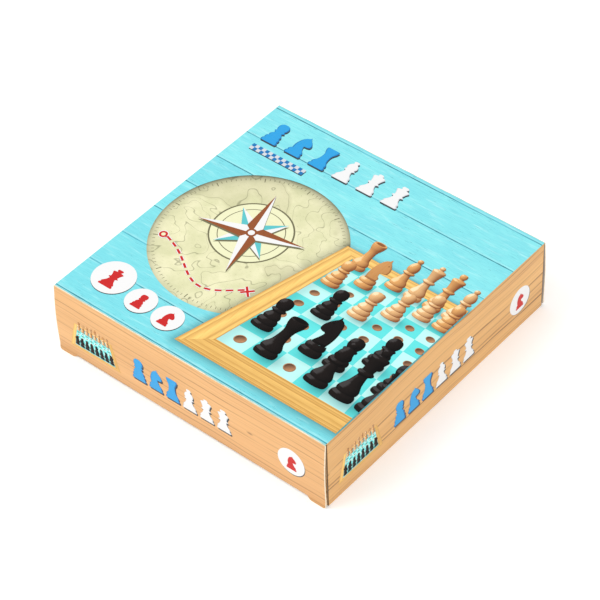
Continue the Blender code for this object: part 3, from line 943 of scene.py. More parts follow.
class Picture:
    """Flat printed shapes on one face of the carton, gathered into one mesh.

    surface(u, v, lift) gives the point of the face; u runs right and v up as the face is read.
    """

    def __init__(self, surface, body):
        self.surface = surface
        self.body = body
        self.shapes = []

    def add(self, look, outline, tones=1.0, layer=1):
        """A filled outline of (u, v) points, with one tone or a tone for each point."""
        if not isinstance(tones, (list, tuple)):
            tones = [tones] * len(outline)
        self.shapes.append((look, outline, tones, layer))

    def build(self, name, clip=(), cut_every=None):
        """One piece with the whole picture, each layer a little above the one below it."""
        looks = sorted({look for look, _, _, _ in self.shapes})
        layers = sorted({layer for _, _, _, layer in self.shapes})
        order = {layer: rank for rank, layer in enumerate(layers, 1)}
        shape = bmesh.new()
        tone = shape.verts.layers.float.new("shade")
        rank = shape.verts.layers.float.new("rank")
        chart = shape.loops.layers.uv.new("place")
        for look, outline, tones, layer in self.shapes:
            corners = []
            for (u, v), value in zip(outline, tones):
                vert = shape.verts.new((u, v, 0.0))
                vert[tone] = value
                vert[rank] = order[layer]
                corners.append(vert)
            shape.faces.new(corners).material_index = looks.index(look)
        for point, normal in clip:
            self.cut(shape, point, normal, True)
        if cut_every:
            heights = [vert.co.y for vert in shape.verts]
            count = int((max(heights) - min(heights)) / cut_every)
            for height in spread(min(heights), max(heights), count)[1:-1]:
                self.cut(shape, (0, height, 0), (0, 1, 0), False)
        chart_faces(shape.faces, chart, lambda at: (at.x, at.y))
        for vert in shape.verts:
            vert.co = self.surface(vert.co.x, vert.co.y, vert[rank] * PRINT_LIFT)
        way = self.surface(0.0, 0.0, MM) - self.surface(0.0, 0.0, 0.0)
        for face in shape.faces:
            face.normal_update()
            if face.normal.dot(way) < 0:
                face.normal_flip()
        mesh = finished(shape, name)
        new_piece(name, mesh, self.body, [LOOKS[look] for look in looks])

    def cut(self, shape, point, normal, clear):
        everything = list(shape.verts) + list(shape.edges) + list(shape.faces)
        bmesh.ops.bisect_plane(
            shape, geom=everything, plane_co=point, plane_no=normal, clear_outer=clear
        )


def top_surface(u, v, lift):
    return Vector((u, v, HEIGHT + lift))


def right_surface(u, v, lift):
    """Right side as it is read from outside: u runs towards the back, v is the height."""
    return Vector((HALF + lift, u, v))


def left_surface(u, v, lift):
    return Vector((-HALF - lift, -u, v))


def end_surface(end):
    """A closure as it is read from outside, with v as the height above the ground."""
    place = closure_place(end)

    def surface(u, v, lift):
        point, normal = place(-end * u, v)
        return point + (HALF_SHEET + lift) * normal

    return surface


def circle(centre, radius, count=40, squash=1.0):
    ways = round_ways(count)
    return [(centre[0] + radius * c, centre[1] + squash * radius * s) for c, s in ways]


def moved(outline, du, dv):
    return [(u + du, v + dv) for u, v in outline]


class Homography:
    """Perspective view of the unit square: (0, 0), (1, 0), (1, 1), (0, 1) onto four points."""

    def __init__(self, corners):
        (x0, y0), (x1, y1), (x2, y2), (x3, y3) = corners
        dx1, dx2, sx = x1 - x2, x3 - x2, x0 - x1 + x2 - x3
        dy1, dy2, sy = y1 - y2, y3 - y2, y0 - y1 + y2 - y3
        whole = dx1 * dy2 - dx2 * dy1
        g = (sx * dy2 - dx2 * sy) / whole
        h = (dx1 * sy - sx * dy1) / whole
        self.rows = (
            (x1 - x0 + g * x1, x3 - x0 + h * x3, x0),
            (y1 - y0 + g * y1, y3 - y0 + h * y3, y0),
            (g, h, 1.0),
        )

    def __call__(self, a, b):
        u, v, w = (row[0] * a + row[1] * b + row[2] for row in self.rows)
        return (u / w, v / w)


# Half outlines of the turned figures: (share of half the base, share of the height)
FIGURE_SHARES = {
    "pawn": [
        (0.93, 0.0), (1.0, 0.03), (1.0, 0.10), (0.90, 0.145), (0.84, 0.16), (0.90, 0.19),
        (0.90, 0.25), (0.80, 0.31), (0.70, 0.33), (0.75, 0.36), (0.75, 0.41), (0.64, 0.47),
        (0.50, 0.52), (0.46, 0.56), (0.62, 0.59), (0.66, 0.62), (0.60, 0.65), (0.50, 0.665),
        (0.62, 0.73), (0.67, 0.81), (0.64, 0.89), (0.50, 0.96), (0.26, 0.995),
    ],
    "rook": [
        (0.93, 0.0), (1.0, 0.03), (1.0, 0.10), (0.90, 0.14), (0.84, 0.155), (0.90, 0.18),
        (0.90, 0.23), (0.78, 0.30), (0.62, 0.36), (0.52, 0.46), (0.47, 0.58), (0.48, 0.68),
        (0.56, 0.76), (0.70, 0.84), (0.77, 0.92), (0.78, 0.985), (0.74, 1.0), (0.60, 1.0),
        (0.56, 0.975), (0.50, 0.92),
    ],
    "bishop": [
        (0.93, 0.0), (1.0, 0.025), (1.0, 0.085), (0.90, 0.12), (0.84, 0.135), (0.90, 0.16),
        (0.89, 0.21), (0.76, 0.27), (0.60, 0.33), (0.46, 0.43), (0.41, 0.50), (0.60, 0.53),
        (0.67, 0.555), (0.60, 0.58), (0.48, 0.595), (0.56, 0.63), (0.63, 0.69), (0.60, 0.76),
        (0.46, 0.83), (0.24, 0.88), (0.26, 0.905), (0.33, 0.935), (0.31, 0.97), (0.18, 0.995),
    ],
    "queen": [
        (0.93, 0.0), (1.0, 0.025), (1.0, 0.08), (0.90, 0.11), (0.84, 0.125), (0.90, 0.15),
        (0.89, 0.20), (0.76, 0.26), (0.60, 0.32), (0.46, 0.42), (0.41, 0.48), (0.62, 0.51),
        (0.69, 0.535), (0.62, 0.56), (0.48, 0.575), (0.50, 0.63), (0.58, 0.72), (0.72, 0.82),
        (0.75, 0.85), (0.68, 0.875), (0.46, 0.895), (0.26, 0.91), (0.30, 0.935), (0.32, 0.96),
        (0.18, 0.995),
    ],
    "king": [
        (0.93, 0.0), (1.0, 0.025), (1.0, 0.08), (0.90, 0.11), (0.84, 0.125), (0.90, 0.15),
        (0.89, 0.195), (0.76, 0.25), (0.60, 0.31), (0.47, 0.41), (0.43, 0.47), (0.64, 0.495),
        (0.71, 0.52), (0.64, 0.545), (0.50, 0.56), (0.52, 0.62), (0.60, 0.70), (0.75, 0.79),
        (0.77, 0.815), (0.68, 0.84), (0.44, 0.855), (0.28, 0.87), (0.34, 0.90), (0.41, 0.93),
        (0.38, 0.975), (0.28, 0.995),
    ],
    "knight": [
        (0.93, 0.0), (1.0, 0.03), (1.0, 0.10), (0.90, 0.145), (0.84, 0.16), (0.90, 0.19),
        (0.88, 0.24), (0.74, 0.30),
    ],
}
# Horse head: (share of half the base forward, share of the height)
HORSE_SHARES = [
    (-0.62, 0.27), (0.60, 0.27), (0.50, 0.38), (0.33, 0.50), (0.38, 0.545), (0.62, 0.55),
    (0.92, 0.58), (1.00, 0.63), (0.98, 0.70), (0.80, 0.79), (0.50, 0.88), (0.34, 0.92),
    (0.24, 1.00), (0.10, 0.94), (-0.10, 0.92), (-0.38, 0.85), (-0.60, 0.70), (-0.72, 0.50),
]
HEIGHT_SHARES = {  # of the king's
    "pawn": 0.62, "rook": 0.72, "knight": 0.79, "bishop": 0.84, "queen": 0.93, "king": 1.0,
}
LEAN = 0.24  # how much the round of each drawn ring shows from above
LIGHT_WAY = Vector((-0.62, -0.48, 0.62))


def curve_points(points, steps=3):
    """The same outline rounded off between its points."""
    padded = [points[0], *points, points[-1]]
    out = []
    for a, b, c, d in zip(padded, padded[1:], padded[2:], padded[3:]):
        for step in range(steps):
            t = step / steps
            out.append(
                tuple(
                    0.5
                    * (
                        2 * q
                        + (r - p) * t
                        + (2 * p - 5 * q + 4 * r - s) * t**2
                        + (3 * q - p - 3 * r + s) * t**3
                    )
                    for p, q, r, s in zip(a, b, c, d)
                )
            )
    out.append(points[-1])
    return out


def draw_figure(picture, kind, foot, width, tall, look, layer, facing=1):
    """A turned figure drawn standing, lit from the upper left. foot is the middle of its base."""
    outline = FIGURE_SHARES[kind][:-3] if kind == "rook" else FIGURE_SHARES[kind]
    outline = curve_points(outline, 2)
    columns = spread(-90.0, 90.0, 12)
    half = width / 2

    def tone(column, low, high):
        run = (high[1] - low[1]) * tall
        rise = (low[0] - high[0]) * half
        size = math.hypot(run, rise) or 1.0
        angle = math.radians(column)
        out = run / size
        normal = Vector((out * math.sin(angle), -out * math.cos(angle), rise / size))
        return unit(0.16 + 0.92 * normal.dot(LIGHT_WAY))

    def spot(column, ring):
        angle = math.radians(column)
        reach = ring[0] * half
        return (
            foot[0] + reach * math.sin(angle),
            foot[1] + ring[1] * tall - LEAN * reach * math.cos(angle),
        )

    for low, high in zip(outline, outline[1:]):
        for left, right in zip(columns, columns[1:]):
            corners = [spot(left, low), spot(right, low), spot(right, high), spot(left, high)]
            tones = [tone(c, low, high) for c in (left, right, right, left)]
            picture.add(look, corners, tones, layer)
    top = outline[-1]
    crown = (foot[0], foot[1] + top[1] * tall)
    if kind == "rook":
        picture.add(look, circle(crown, top[0] * half, 24, LEAN + 0.1), 0.85, layer + 0.5)
        picture.add(look, circle(crown, 0.72 * top[0] * half, 24, LEAN + 0.1), 0.10, layer + 1)
    elif kind == "knight":
        draw_horse(picture, foot, half, tall, look, layer + 1, facing)
    else:
        picture.add(look, circle(crown, top[0] * half, 16, LEAN), 0.85, layer)


def draw_horse(picture, foot, half, tall, look, layer, facing):
    """The knight's head: its flat cheek inside a bevelled edge that catches the light."""
    middle = (0.08, 0.62)
    for share, base_tone, gain, step in ((1.0, 0.42, 0.45, 0), (0.86, 0.62, 0.12, 1)):
        points, tones = [], []
        for a, b in curve_points([*HORSE_SHARES, HORSE_SHARES[0]], 3)[:-1]:
            a, b = middle[0] + share * (a - middle[0]), middle[1] + share * (b - middle[1])
            points.append((foot[0] + facing * a * half, foot[1] + b * tall))
            lit = -0.7 * facing * (a - middle[0]) + 1.6 * (b - middle[1])
            tones.append(max(0.05, min(1.0, base_tone + gain * lit)))
        picture.add(look, points, tones, layer + step)
    eye = (foot[0] + facing * 0.42 * half, foot[1] + 0.80 * tall)
    picture.add(look, circle(eye, 0.07 * half, 10), 0.0, layer + 1.5)


def icon_outlines(kind, foot, width, tall):
    """The outline of a figure's mark, and for the knight its head as well."""
    outline = FIGURE_SHARES[kind][:-2] if kind == "rook" else FIGURE_SHARES[kind]
    right = [(foot[0] + r * width / 2, foot[1] + z * tall) for r, z in curve_points(outline, 2)]
    shapes = [[*right, *[(2 * foot[0] - u, v) for u, v in reversed(right)]]]
    if kind == "knight":
        head = curve_points([*HORSE_SHARES, HORSE_SHARES[0]], 3)[:-1]
        shapes.append([(foot[0] + a * width / 2, foot[1] + b * tall) for a, b in head])
    return shapes


def draw_icon(picture, kind, foot, width, tall, look, layer):
    """A figure as a plain mark of one ink, with its shadow below and to the right."""
    for step, shape in enumerate(icon_outlines(kind, foot, width, tall)):
        rank = layer + 0.5 * step
        inner = moved(shape_share(shape, 0.86), -0.010 * tall, 0.012 * tall)
        picture.add("ink_shadow", moved(shape, 0.045 * tall, -0.060 * tall), 1.0, rank)
        picture.add(look, shape, 1.0, rank + 1)
        picture.add(look + "_lit", inner, 1.0, rank + 2)


def shape_share(shape, share):
    """The outline drawn in towards its own middle line, keeping its height."""
    middle = sum(u for u, v in shape) / len(shape)
    return [(middle + share * (u - middle), v) for u, v in shape]


BOARD_RAIL_SHARE = 0.085  # width of the drawn frame in board sides
BOARD_PARTS, SIDE_BOARD_PARTS = 6, 2
HOLE_SHARE = 0.21  # radius of a drawn peg hole in squares
# The drawn moulding, from the board's edge in: (share of its width, tone)
RAIL_SHARES = [
    (0.0, 0.35), (0.10, 0.75), (0.16, 0.95), (0.20, 0.45), (0.26, 0.60), (0.45, 0.98),
    (0.66, 0.80), (0.76, 0.40), (0.82, 0.75), (0.92, 0.95), (1.0, 0.15),
]
RAIL_GAINS = (0.78, 0.72, 1.0, 1.05)  # light on the near, right, far and left side


def draw_board(picture, corners, layer, figures, parts):
    """The framed chequerboard drawn in perspective, each square in parts by parts faces."""
    view = Homography(corners)
    rail = BOARD_RAIL_SHARE
    square = (1.0 - 2 * rail) / SQUARES

    def lit(a, b):
        """Tone of the field: darker along the left and far frame sides and beside figures."""
        tone = 1.0 - 0.30 * math.exp(-((a - rail) / (0.35 * square)) ** 2)
        tone -= 0.22 * math.exp(-((1 - rail - b) / (0.35 * square)) ** 2)
        for _, _, column, row in figures:
            right = (a - rail) / square - (column + 0.72)
            ahead = (b - rail) / square - (row + 0.42)
            tone -= 0.75 * math.exp(-((right / 0.52) ** 2 + (ahead / 0.36) ** 2))
        return max(0.0, tone)

    step = square / parts
    for column in range(SQUARES * parts):
        for row in range(SQUARES * parts):
            a, b = rail + column * step, rail + row * step
            ring = [(a, b), (a + step, b), (a + step, b + step), (a, b + step)]
            look = "square_teal" if (column // parts + row // parts) % 2 else "square_pale"
            picture.add(look, [view(*p) for p in ring], [lit(*p) for p in ring], layer)
    taken = {(column, row) for _, _, column, row in figures}
    for column in range(SQUARES):
        for row in range(SQUARES):
            if (column, row) in taken:
                continue
            middle = (rail + (column + 0.5) * square, rail + (row + 0.5) * square)
            for share, dark, gain, rise in ((1.0, 0.55, 0.5, 1), (0.84, 0.35, -1.9, 2)):
                ring = circle(middle, share * HOLE_SHARE * square, 20)
                tones = []
                for p, q in ring:
                    tones.append(unit(dark + gain * (q - middle[1] - p + middle[0]) / square))
                picture.add("hole_print", [view(p, q) for p, q in ring], tones, layer + rise)
    for side, gain in enumerate(RAIL_GAINS):
        for (first, tone_a), (second, tone_b) in zip(RAIL_SHARES, RAIL_SHARES[1:]):
            tones = (tone_b, tone_a) if side in (0, 1) else (tone_a, tone_b)
            outer, inner = first * rail, second * rail
            turned = []
            for a, b in ((outer, outer), (1 - outer, outer), (1 - inner, inner), (inner, inner)):
                for _ in range(side):
                    a, b = 1 - b, a
                turned.append(view(a, b))
            look = "frame_print_level" if side in (0, 2) else "frame_print_upright"
            values = [min(1.0, gain * tones[0])] * 2 + [min(1.0, gain * tones[1])] * 2
            picture.add(look, turned, values, layer + 1)
    return view, square


def stand_figures(picture, view, square, figures, tall_squares, layer):
    """Figures on their squares, nearer rows on higher layers so that they overlap the far ones."""
    rail = BOARD_RAIL_SHARE
    for kind, colour, column, row in figures:
        foot = view(rail + (column + 0.5) * square, rail + (row + 0.42) * square)
        left, right = (
            view(rail + edge * square, rail + (row + 0.5) * square) for edge in (column, column + 1)
        )
        wide = right[0] - left[0]
        tall = HEIGHT_SHARES[kind] * tall_squares * wide
        facing = 1 if colour == "light" else -1
        seat = layer + (SQUARES - 1 - row) * LAYERS_IN_ROW
        honey = colour == "light" and (3 * column + row) % 2
        look = "figure_honey" if honey else "figure_" + colour
        draw_figure(picture, kind, foot, 0.86 * wide, tall, look, seat, facing)


# Layers of the pictures, from the card up
DIAL_LAYER, COMPASS_LAYER, MARK_LAYER, BADGE_LAYER = 1, 3, 3, 8
ROUTE_LAYER, BOARD_LAYER, FIGURE_LAYER = 14, 17, 21
SIDE_LAYER, SIDE_FIGURE_LAYER = 2, 6
LAYERS_IN_ROW = 3  # from one row of figures to the nearer one
TOP_TALL_SQUARES, SIDE_TALL_SQUARES = 2.55, 2.0  # height of a drawn king

# Top print: sizes in metres from the middle of the panel
DIAL_MIDDLE = (-31 * MM, -5 * MM)
DIAL_RADIUS = 53 * MM
DIAL_SHARES = [1.0, 0.99, 0.975, 0.95, 0.92, 0.88, 0.83, 0.77, 0.68, 0.56, 0.42, 0.26, 0.1]
DIAL_SIDES = 120
DIAL_DARK_DEG = 118  # where its sunk edge is darkest
TICK_WIDTHS = (0.5 * MM, 0.28 * MM)  # of every tenth tick and of the others
COMPASS_MIDDLE = (-35 * MM, 2 * MM)
COMPASS_SIZE = 31 * MM
ROUTE_START = (-68 * MM, -27 * MM)
ROUTE_RUN = 58 * MM
ROUTE_WAVES = ((-15 * MM, 2.6), (3 * MM, 7.0))  # height and turn of each
ROUTE_DASH, ROUTE_GAP, ROUTE_WIDTH = 3.4 * MM, 2.0 * MM, 1.3 * MM
ROUTE_RIM = 0.9 * MM
ROUTE_STEPS = 199
RING_ASIDE = 2.6 * MM
RING_INKS = ((2.9 * MM, "ink_disc", 0), (2.4 * MM, "ink_red", 1), (1.2 * MM, "ink_cream", 2))
CROSS_ASIDE = 2 * MM
CROSS_ARM = 2.6 * MM
BOARD_CORNERS = [(-15 * MM, -81 * MM), (150 * MM, -81 * MM), (122 * MM, 25 * MM), (11 * MM, 25 * MM)]
BOARD_SHADE = 7 * MM  # width of the soft shadow round it
TOP_MARKS = {"left": -83 * MM, "base": 62 * MM, "tall": 17 * MM, "pitch": 16.5 * MM}
STRIP_PLACE = (-80 * MM, 52.5 * MM)
STRIP_SQUARE = 2.3 * MM
STRIP_SHADOW = (0.5 * MM, -0.6 * MM)
TOP_BADGES = (
    ("king", (-69 * MM, -67 * MM), 12 * MM),
    ("pawn", (-46.5 * MM, -71 * MM), 8.8 * MM),
    ("knight", (-27.5 * MM, -72 * MM), 8.8 * MM),
)
BADGE_SHADOW = (0.35 * MM, -0.45 * MM)
PRINT_INSET = 0.9 * MM  # of the top's picture at the side creases
TOP_FIGURES = [  # kind, colour, column and row
    ("rook", "light", 0, 7), ("bishop", "light", 2, 7), ("queen", "light", 3, 7),
    ("king", "light", 4, 7), ("knight", "light", 1, 6), ("pawn", "light", 0, 5),
    ("pawn", "light", 3, 5), ("pawn", "light", 5, 6), ("pawn", "light", 2, 4),
    ("pawn", "dark", 1, 3), ("pawn", "dark", 4, 2), ("knight", "dark", 2, 1),
    ("pawn", "dark", 0, 1), ("bishop", "dark", 3, 0), ("king", "dark", 4, 0),
    ("rook", "dark", 1, 0), ("pawn", "dark", 5, 1), ("queen", "dark", 5, 0),
    ("bishop", "light", 5, 7), ("pawn", "light", 4, 6), ("pawn", "dark", 3, 1),
]

# Side prints: sizes in metres from the middle of the side and up from the ground
SIDE_CORNERS = [(-81 * MM, 9 * MM), (-46 * MM, 9 * MM), (-50.5 * MM, 27 * MM), (-76.5 * MM, 27 * MM)]
SIDE_MARKS = {"left": -38 * MM, "base": 12.8 * MM, "tall": 15 * MM, "pitch": 11.4 * MM}
SIDE_BADGE = ("knight", (68.7 * MM, 20.1 * MM), 8.6 * MM)
BACK_RANK = ("rook", "knight", "bishop", "queen", "king", "bishop", "knight", "rook")
MARKS = (
    ("pawn", "ink_blue"), ("knight", "ink_blue"), ("rook", "ink_blue"),
    ("bishop", "ink_white"), ("queen", "ink_white"), ("king", "ink_white"),
)


def board_shadow(x, y):
    """Soft shadow printed round the board, strongest at its lower left, from 0 to 1."""
    (low_x, low_y), _, _, (high_x, high_y) = BOARD_CORNERS
    share = unit((y - low_y) / (high_y - low_y))
    gap = max(low_x + share * (high_x - low_x) - x, 0.0)
    above, below = max(y - high_y, 0.0), max(low_y - y, 0.0)
    distance = math.hypot(gap, 1.8 * above + below)
    return 0.62 * max(0.0, 1.0 - distance / BOARD_SHADE) ** 1.7


def draw_dial(picture, layer):
    """A large round dial sunk in the planks, with tick marks round its edge."""
    count = DIAL_SIDES

    def spot(share, step):
        angle = 2 * math.pi * step / count
        reach = share * DIAL_RADIUS
        return (DIAL_MIDDLE[0] + reach * math.cos(angle), DIAL_MIDDLE[1] + reach * math.sin(angle))

    def tone(share, step):
        angle = 2 * math.pi * step / count
        side = max(0.0, 0.5 + 0.5 * math.cos(angle - math.radians(DIAL_DARK_DEG)))
        sunk = math.exp(-((1 - share) / 0.055)) * (0.18 + 0.78 * side)
        return min(1.0, sunk + 0.8 * board_shadow(*spot(share, step)))

    for outer, inner in zip(DIAL_SHARES, DIAL_SHARES[1:]):
        for step in range(count):
            ring = ((outer, step), (outer, step + 1), (inner, step + 1), (inner, step))
            picture.add("dial_print", [spot(*p) for p in ring], [tone(*p) for p in ring], layer)
    picture.add("dial_print", [spot(DIAL_SHARES[-1], step) for step in range(count)], 0.0, layer)
    for step in range(count):
        inner = 0.90 if step % 10 == 0 else 0.925
        width = TICK_WIDTHS[0] if step % 10 == 0 else TICK_WIDTHS[1]
        picture.add("ink_olive", stroke(spot(inner, step), spot(0.955, step), width), 1.0, layer + 1)


def draw_compass(picture, middle, size, layer):
    """A plain eight-pointed compass rose in wood brown, white and teal."""
    rings = (("ink_olive", 0.74), ("ink_cream", 0.71), ("ink_olive", 0.585), ("ink_cream", 0.57))
    for step, (look, share) in enumerate(rings):
        picture.add(look, circle(middle, share * size, 64), 1.0, layer + step)
    for start, reach, look, step in ((52.5, 0.66, "ink_teal", 5), (15.0, 1.0, "ink_brown", 7)):
        for arm in range(4):
            angle = math.radians(start + 90 * arm)
            tip = at_angle(middle, angle, size * reach)
            for half, turn in ((look, 45), ("ink_disc", -45)):
                hip = at_angle(middle, angle + math.radians(turn), 0.21 * size)
                corners = [middle, tip, hip]
                picture.add(half, corners, 1.0, layer + step)
                shadow = moved(corners, 0.025 * size, -0.035 * size)
                picture.add("ink_olive", shadow, 1.0, layer + step - 1)
    picture.add("ink_brown", circle(middle, 0.10 * size, 24), 1.0, layer + 8)
    picture.add("ink_disc", circle(middle, 0.06 * size, 24), 1.0, layer + 9)


def at_angle(middle, angle, reach):
    return (middle[0] + reach * math.cos(angle), middle[1] + reach * math.sin(angle))


def stroke(start, end, width):
    """A straight dash with a given width."""
    way = Vector(end) - Vector(start)
    side = Vector((-way.y, way.x)).normalized() * width / 2
    a, b = Vector(start), Vector(end)
    return [tuple(a + side), tuple(a - side), tuple(b - side), tuple(b + side)]


def draw_route(picture, layer):
    """A red dashed line over the dial, from a ring to a cross."""
    points = []
    for share in spread(0.0, 1.0, ROUTE_STEPS):
        rise = sum(high * math.sin(turn * share) for high, turn in ROUTE_WAVES)
        points.append(Vector((ROUTE_START[0] + ROUTE_RUN * share, ROUTE_START[1] + rise)))

    def dash(start, end, rank):
        rimmed = stroke(start, end, ROUTE_WIDTH + ROUTE_RIM)
        picture.add("ink_disc", rimmed, 1.0, rank)
        picture.add("ink_red", stroke(start, end, ROUTE_WIDTH), 1.0, rank + 1)

    run, start, drawing = 0.0, points[0], True
    for before, after in zip(points, points[1:]):
        run += (after - before).length
        if run >= (ROUTE_DASH if drawing else ROUTE_GAP):
            if drawing:
                dash(start, after, layer)
            run, start, drawing = 0.0, after, not drawing
    ring = tuple(points[0] - Vector((RING_ASIDE, 0)))
    for radius, look, step in RING_INKS:
        picture.add(look, circle(ring, radius, 28), 1.0, layer + step)
    cross = points[-1] + Vector((CROSS_ASIDE, 0))
    for sign, step in ((-1, 0.0), (1, 0.5)):
        arm = Vector((CROSS_ARM, sign * CROSS_ARM))
        dash(cross - arm, cross + arm, layer + step)


def draw_badge(picture, kind, middle, radius, layer):
    """A white disc with its printed shadow and a small red figure in the middle."""
    picture.add("ink_shadow", moved(circle(middle, radius, 56), *BADGE_SHADOW), 1.0, layer)
    picture.add("ink_disc", circle(middle, radius, 56), 1.0, layer + 1)
    tall = 1.15 * radius
    foot = (middle[0], middle[1] - 0.55 * tall)
    for step, outline in enumerate(icon_outlines(kind, foot, 0.64 * tall, tall)):
        picture.add("ink_red", outline, 1.0, layer + 4 + step)


def draw_marks(picture, left, base, tall, pitch, layer):
    """A row of figure marks, blue then white, in place of a title."""
    for index, (kind, look) in enumerate(MARKS):
        foot = (left + (index + 0.5) * pitch, base)
        draw_icon(picture, kind, foot, 0.62 * tall, tall, look, layer)


def top_picture():
    picture = Picture(top_surface, ROOT)
    draw_dial(picture, DIAL_LAYER)
    draw_compass(picture, COMPASS_MIDDLE, COMPASS_SIZE, COMPASS_LAYER)
    draw_route(picture, ROUTE_LAYER)
    view, square = draw_board(picture, BOARD_CORNERS, BOARD_LAYER, TOP_FIGURES, BOARD_PARTS)
    stand_figures(picture, view, square, TOP_FIGURES, TOP_TALL_SQUARES, FIGURE_LAYER)
    draw_marks(picture, layer=MARK_LAYER, **TOP_MARKS)
    draw_strip(picture, MARK_LAYER)
    for badge in TOP_BADGES:
        draw_badge(picture, *badge, BADGE_LAYER)
    edge = HALF - PRINT_INSET
    sides = ((edge, 0), (-edge, 0), (0, FOLD_Y), (0, -FOLD_Y))
    picture.build("top_print", [((x, y, 0), (x, y, 0)) for x, y in sides])


def draw_strip(picture, layer):
    """Two rows of small blue and white squares under the marks."""
    size = STRIP_SQUARE
    for column in range(16):
        for row in range(2):
            look = "ink_blue" if (column + row) % 2 else "ink_white"
            u, v = STRIP_PLACE[0] + column * size, STRIP_PLACE[1] + row * size
            ring = [(u, v), (u + size, v), (u + size, v + size), (u, v + size)]
            picture.add("ink_shadow", moved(ring, *STRIP_SHADOW), 1.0, layer)
            picture.add(look, ring, 1.0, layer + 1)


def side_picture(name, surface, body, cut_every=None):
    """The band of small pictures on a side: a board, a row of marks and a white disc."""
    picture = Picture(surface, body)
    figures = []
    for column, kind in enumerate(BACK_RANK):
        figures += [(kind, "light", column, 7), ("pawn", "light", column, 6)]
        figures += [(kind, "dark", column, 0), ("pawn", "dark", column, 1)]
    view, square = draw_board(picture, SIDE_CORNERS, SIDE_LAYER, figures, SIDE_BOARD_PARTS)
    stand_figures(picture, view, square, figures, SIDE_TALL_SQUARES, SIDE_FIGURE_LAYER)
    draw_marks(picture, layer=SIDE_LAYER, **SIDE_MARKS)
    draw_badge(picture, *SIDE_BADGE, SIDE_LAYER)
    picture.build(name, (), cut_every)


# Board and pieces


def plate_cell(shape, chart, low, pale, count=24):
    """One square of the field, with a countersunk hole and its wall."""
    middle = (low[0] + SQUARE / 2, low[1] + SQUARE / 2)
    top, bottom = PLATE_HIGH.z, PLATE_LOW.z
    ways = round_ways(count)
    outer = [SQUARE / 2 / max(abs(c), abs(s)) for c, s in ways]
    wide, narrow = [HOLE_RADIUS + HOLE_SINK] * count, [HOLE_RADIUS] * count
    rings = []
    for reaches, height in (
        (outer, top), (wide, top), (narrow, top - HOLE_SINK), (narrow, bottom), (outer, bottom),
    ):
        ring = []
        for reach, (c, s) in zip(reaches, ways):
            ring.append(shape.verts.new((middle[0] + reach * c, middle[1] + reach * s, height)))
        rings.append(ring)
    for index, (first, second) in enumerate(zip(rings, rings[1:])):
        for step in range(count):
            after = (step + 1) % count
            face = shape.faces.new((first[step], first[after], second[after], second[step]))
            face.material_index = 2 if index else pale
            if index == 3:
                chart_faces([face], chart, lambda at: (at.x, at.y))
            else:
                chart_faces([face], chart, lambda at: (at.x, at.y + at.z))


def board_plate():
    """The drilled field: painted squares, natural wood inside the holes."""
    shape = bmesh.new()
    chart = shape.loops.layers.uv.new("place")
    for column in range(SQUARES):
        for row in range(SQUARES):
            low = ((column - SQUARES / 2) * SQUARE, (row - SQUARES / 2) * SQUARE)
            plate_cell(shape, chart, low, (column + row) % 2)
    bmesh.ops.remove_doubles(shape, verts=shape.verts, dist=WELD)
    looks = [LOOKS["painted_teal"], LOOKS["painted_pale"], LOOKS["hole_wood"]]
    mesh = finished(shape, "board_plate")
    new_piece("board_plate", mesh, ROOT, looks, ("drilled_plate",), PLATE_SMOOTH_DEG)


# The moulding's outer side, then its crest: (share of its width, share of its height)
OUTER_SHARES = [(0.0, 0.04), (0.02, 0.0), (0.74, 0.0), (0.75, 0.02)]
CREST_SHARES = [
    (1.0, 0.88), (0.985, 0.94), (0.94, 0.985), (0.89, 1.0), (0.83, 0.985), (0.79, 0.945),
    (0.77, 0.90), (0.74, 0.93), (0.66, 0.975), (0.56, 0.998), (0.46, 0.99), (0.36, 0.955),
    (0.28, 0.90), (0.235, 0.84), (0.225, 0.80), (0.18, 0.805), (0.10, 0.80), (0.04, 0.76),
    (0.01, 0.71), (0.0, 0.64),
]


def rail_profile():
    """The frame's moulding from its outer lower edge, under the lip and back over the crest."""
    low = RAIL_LOW.z
    tall = RAIL_HIGH.z - low
    lip = FRAME_WIDTH - FRAME_LAP
    seat = PLATE_HIGH.z + RAIL_GAP
    outer, crest = (
        [(a * FRAME_WIDTH, low + b * tall) for a, b in shares] for shares in (OUTER_SHARES, CREST_SHARES)
    )
    return [*outer, (lip, low + 0.78 * tall), (lip, seat), (FRAME_WIDTH, seat), *crest]


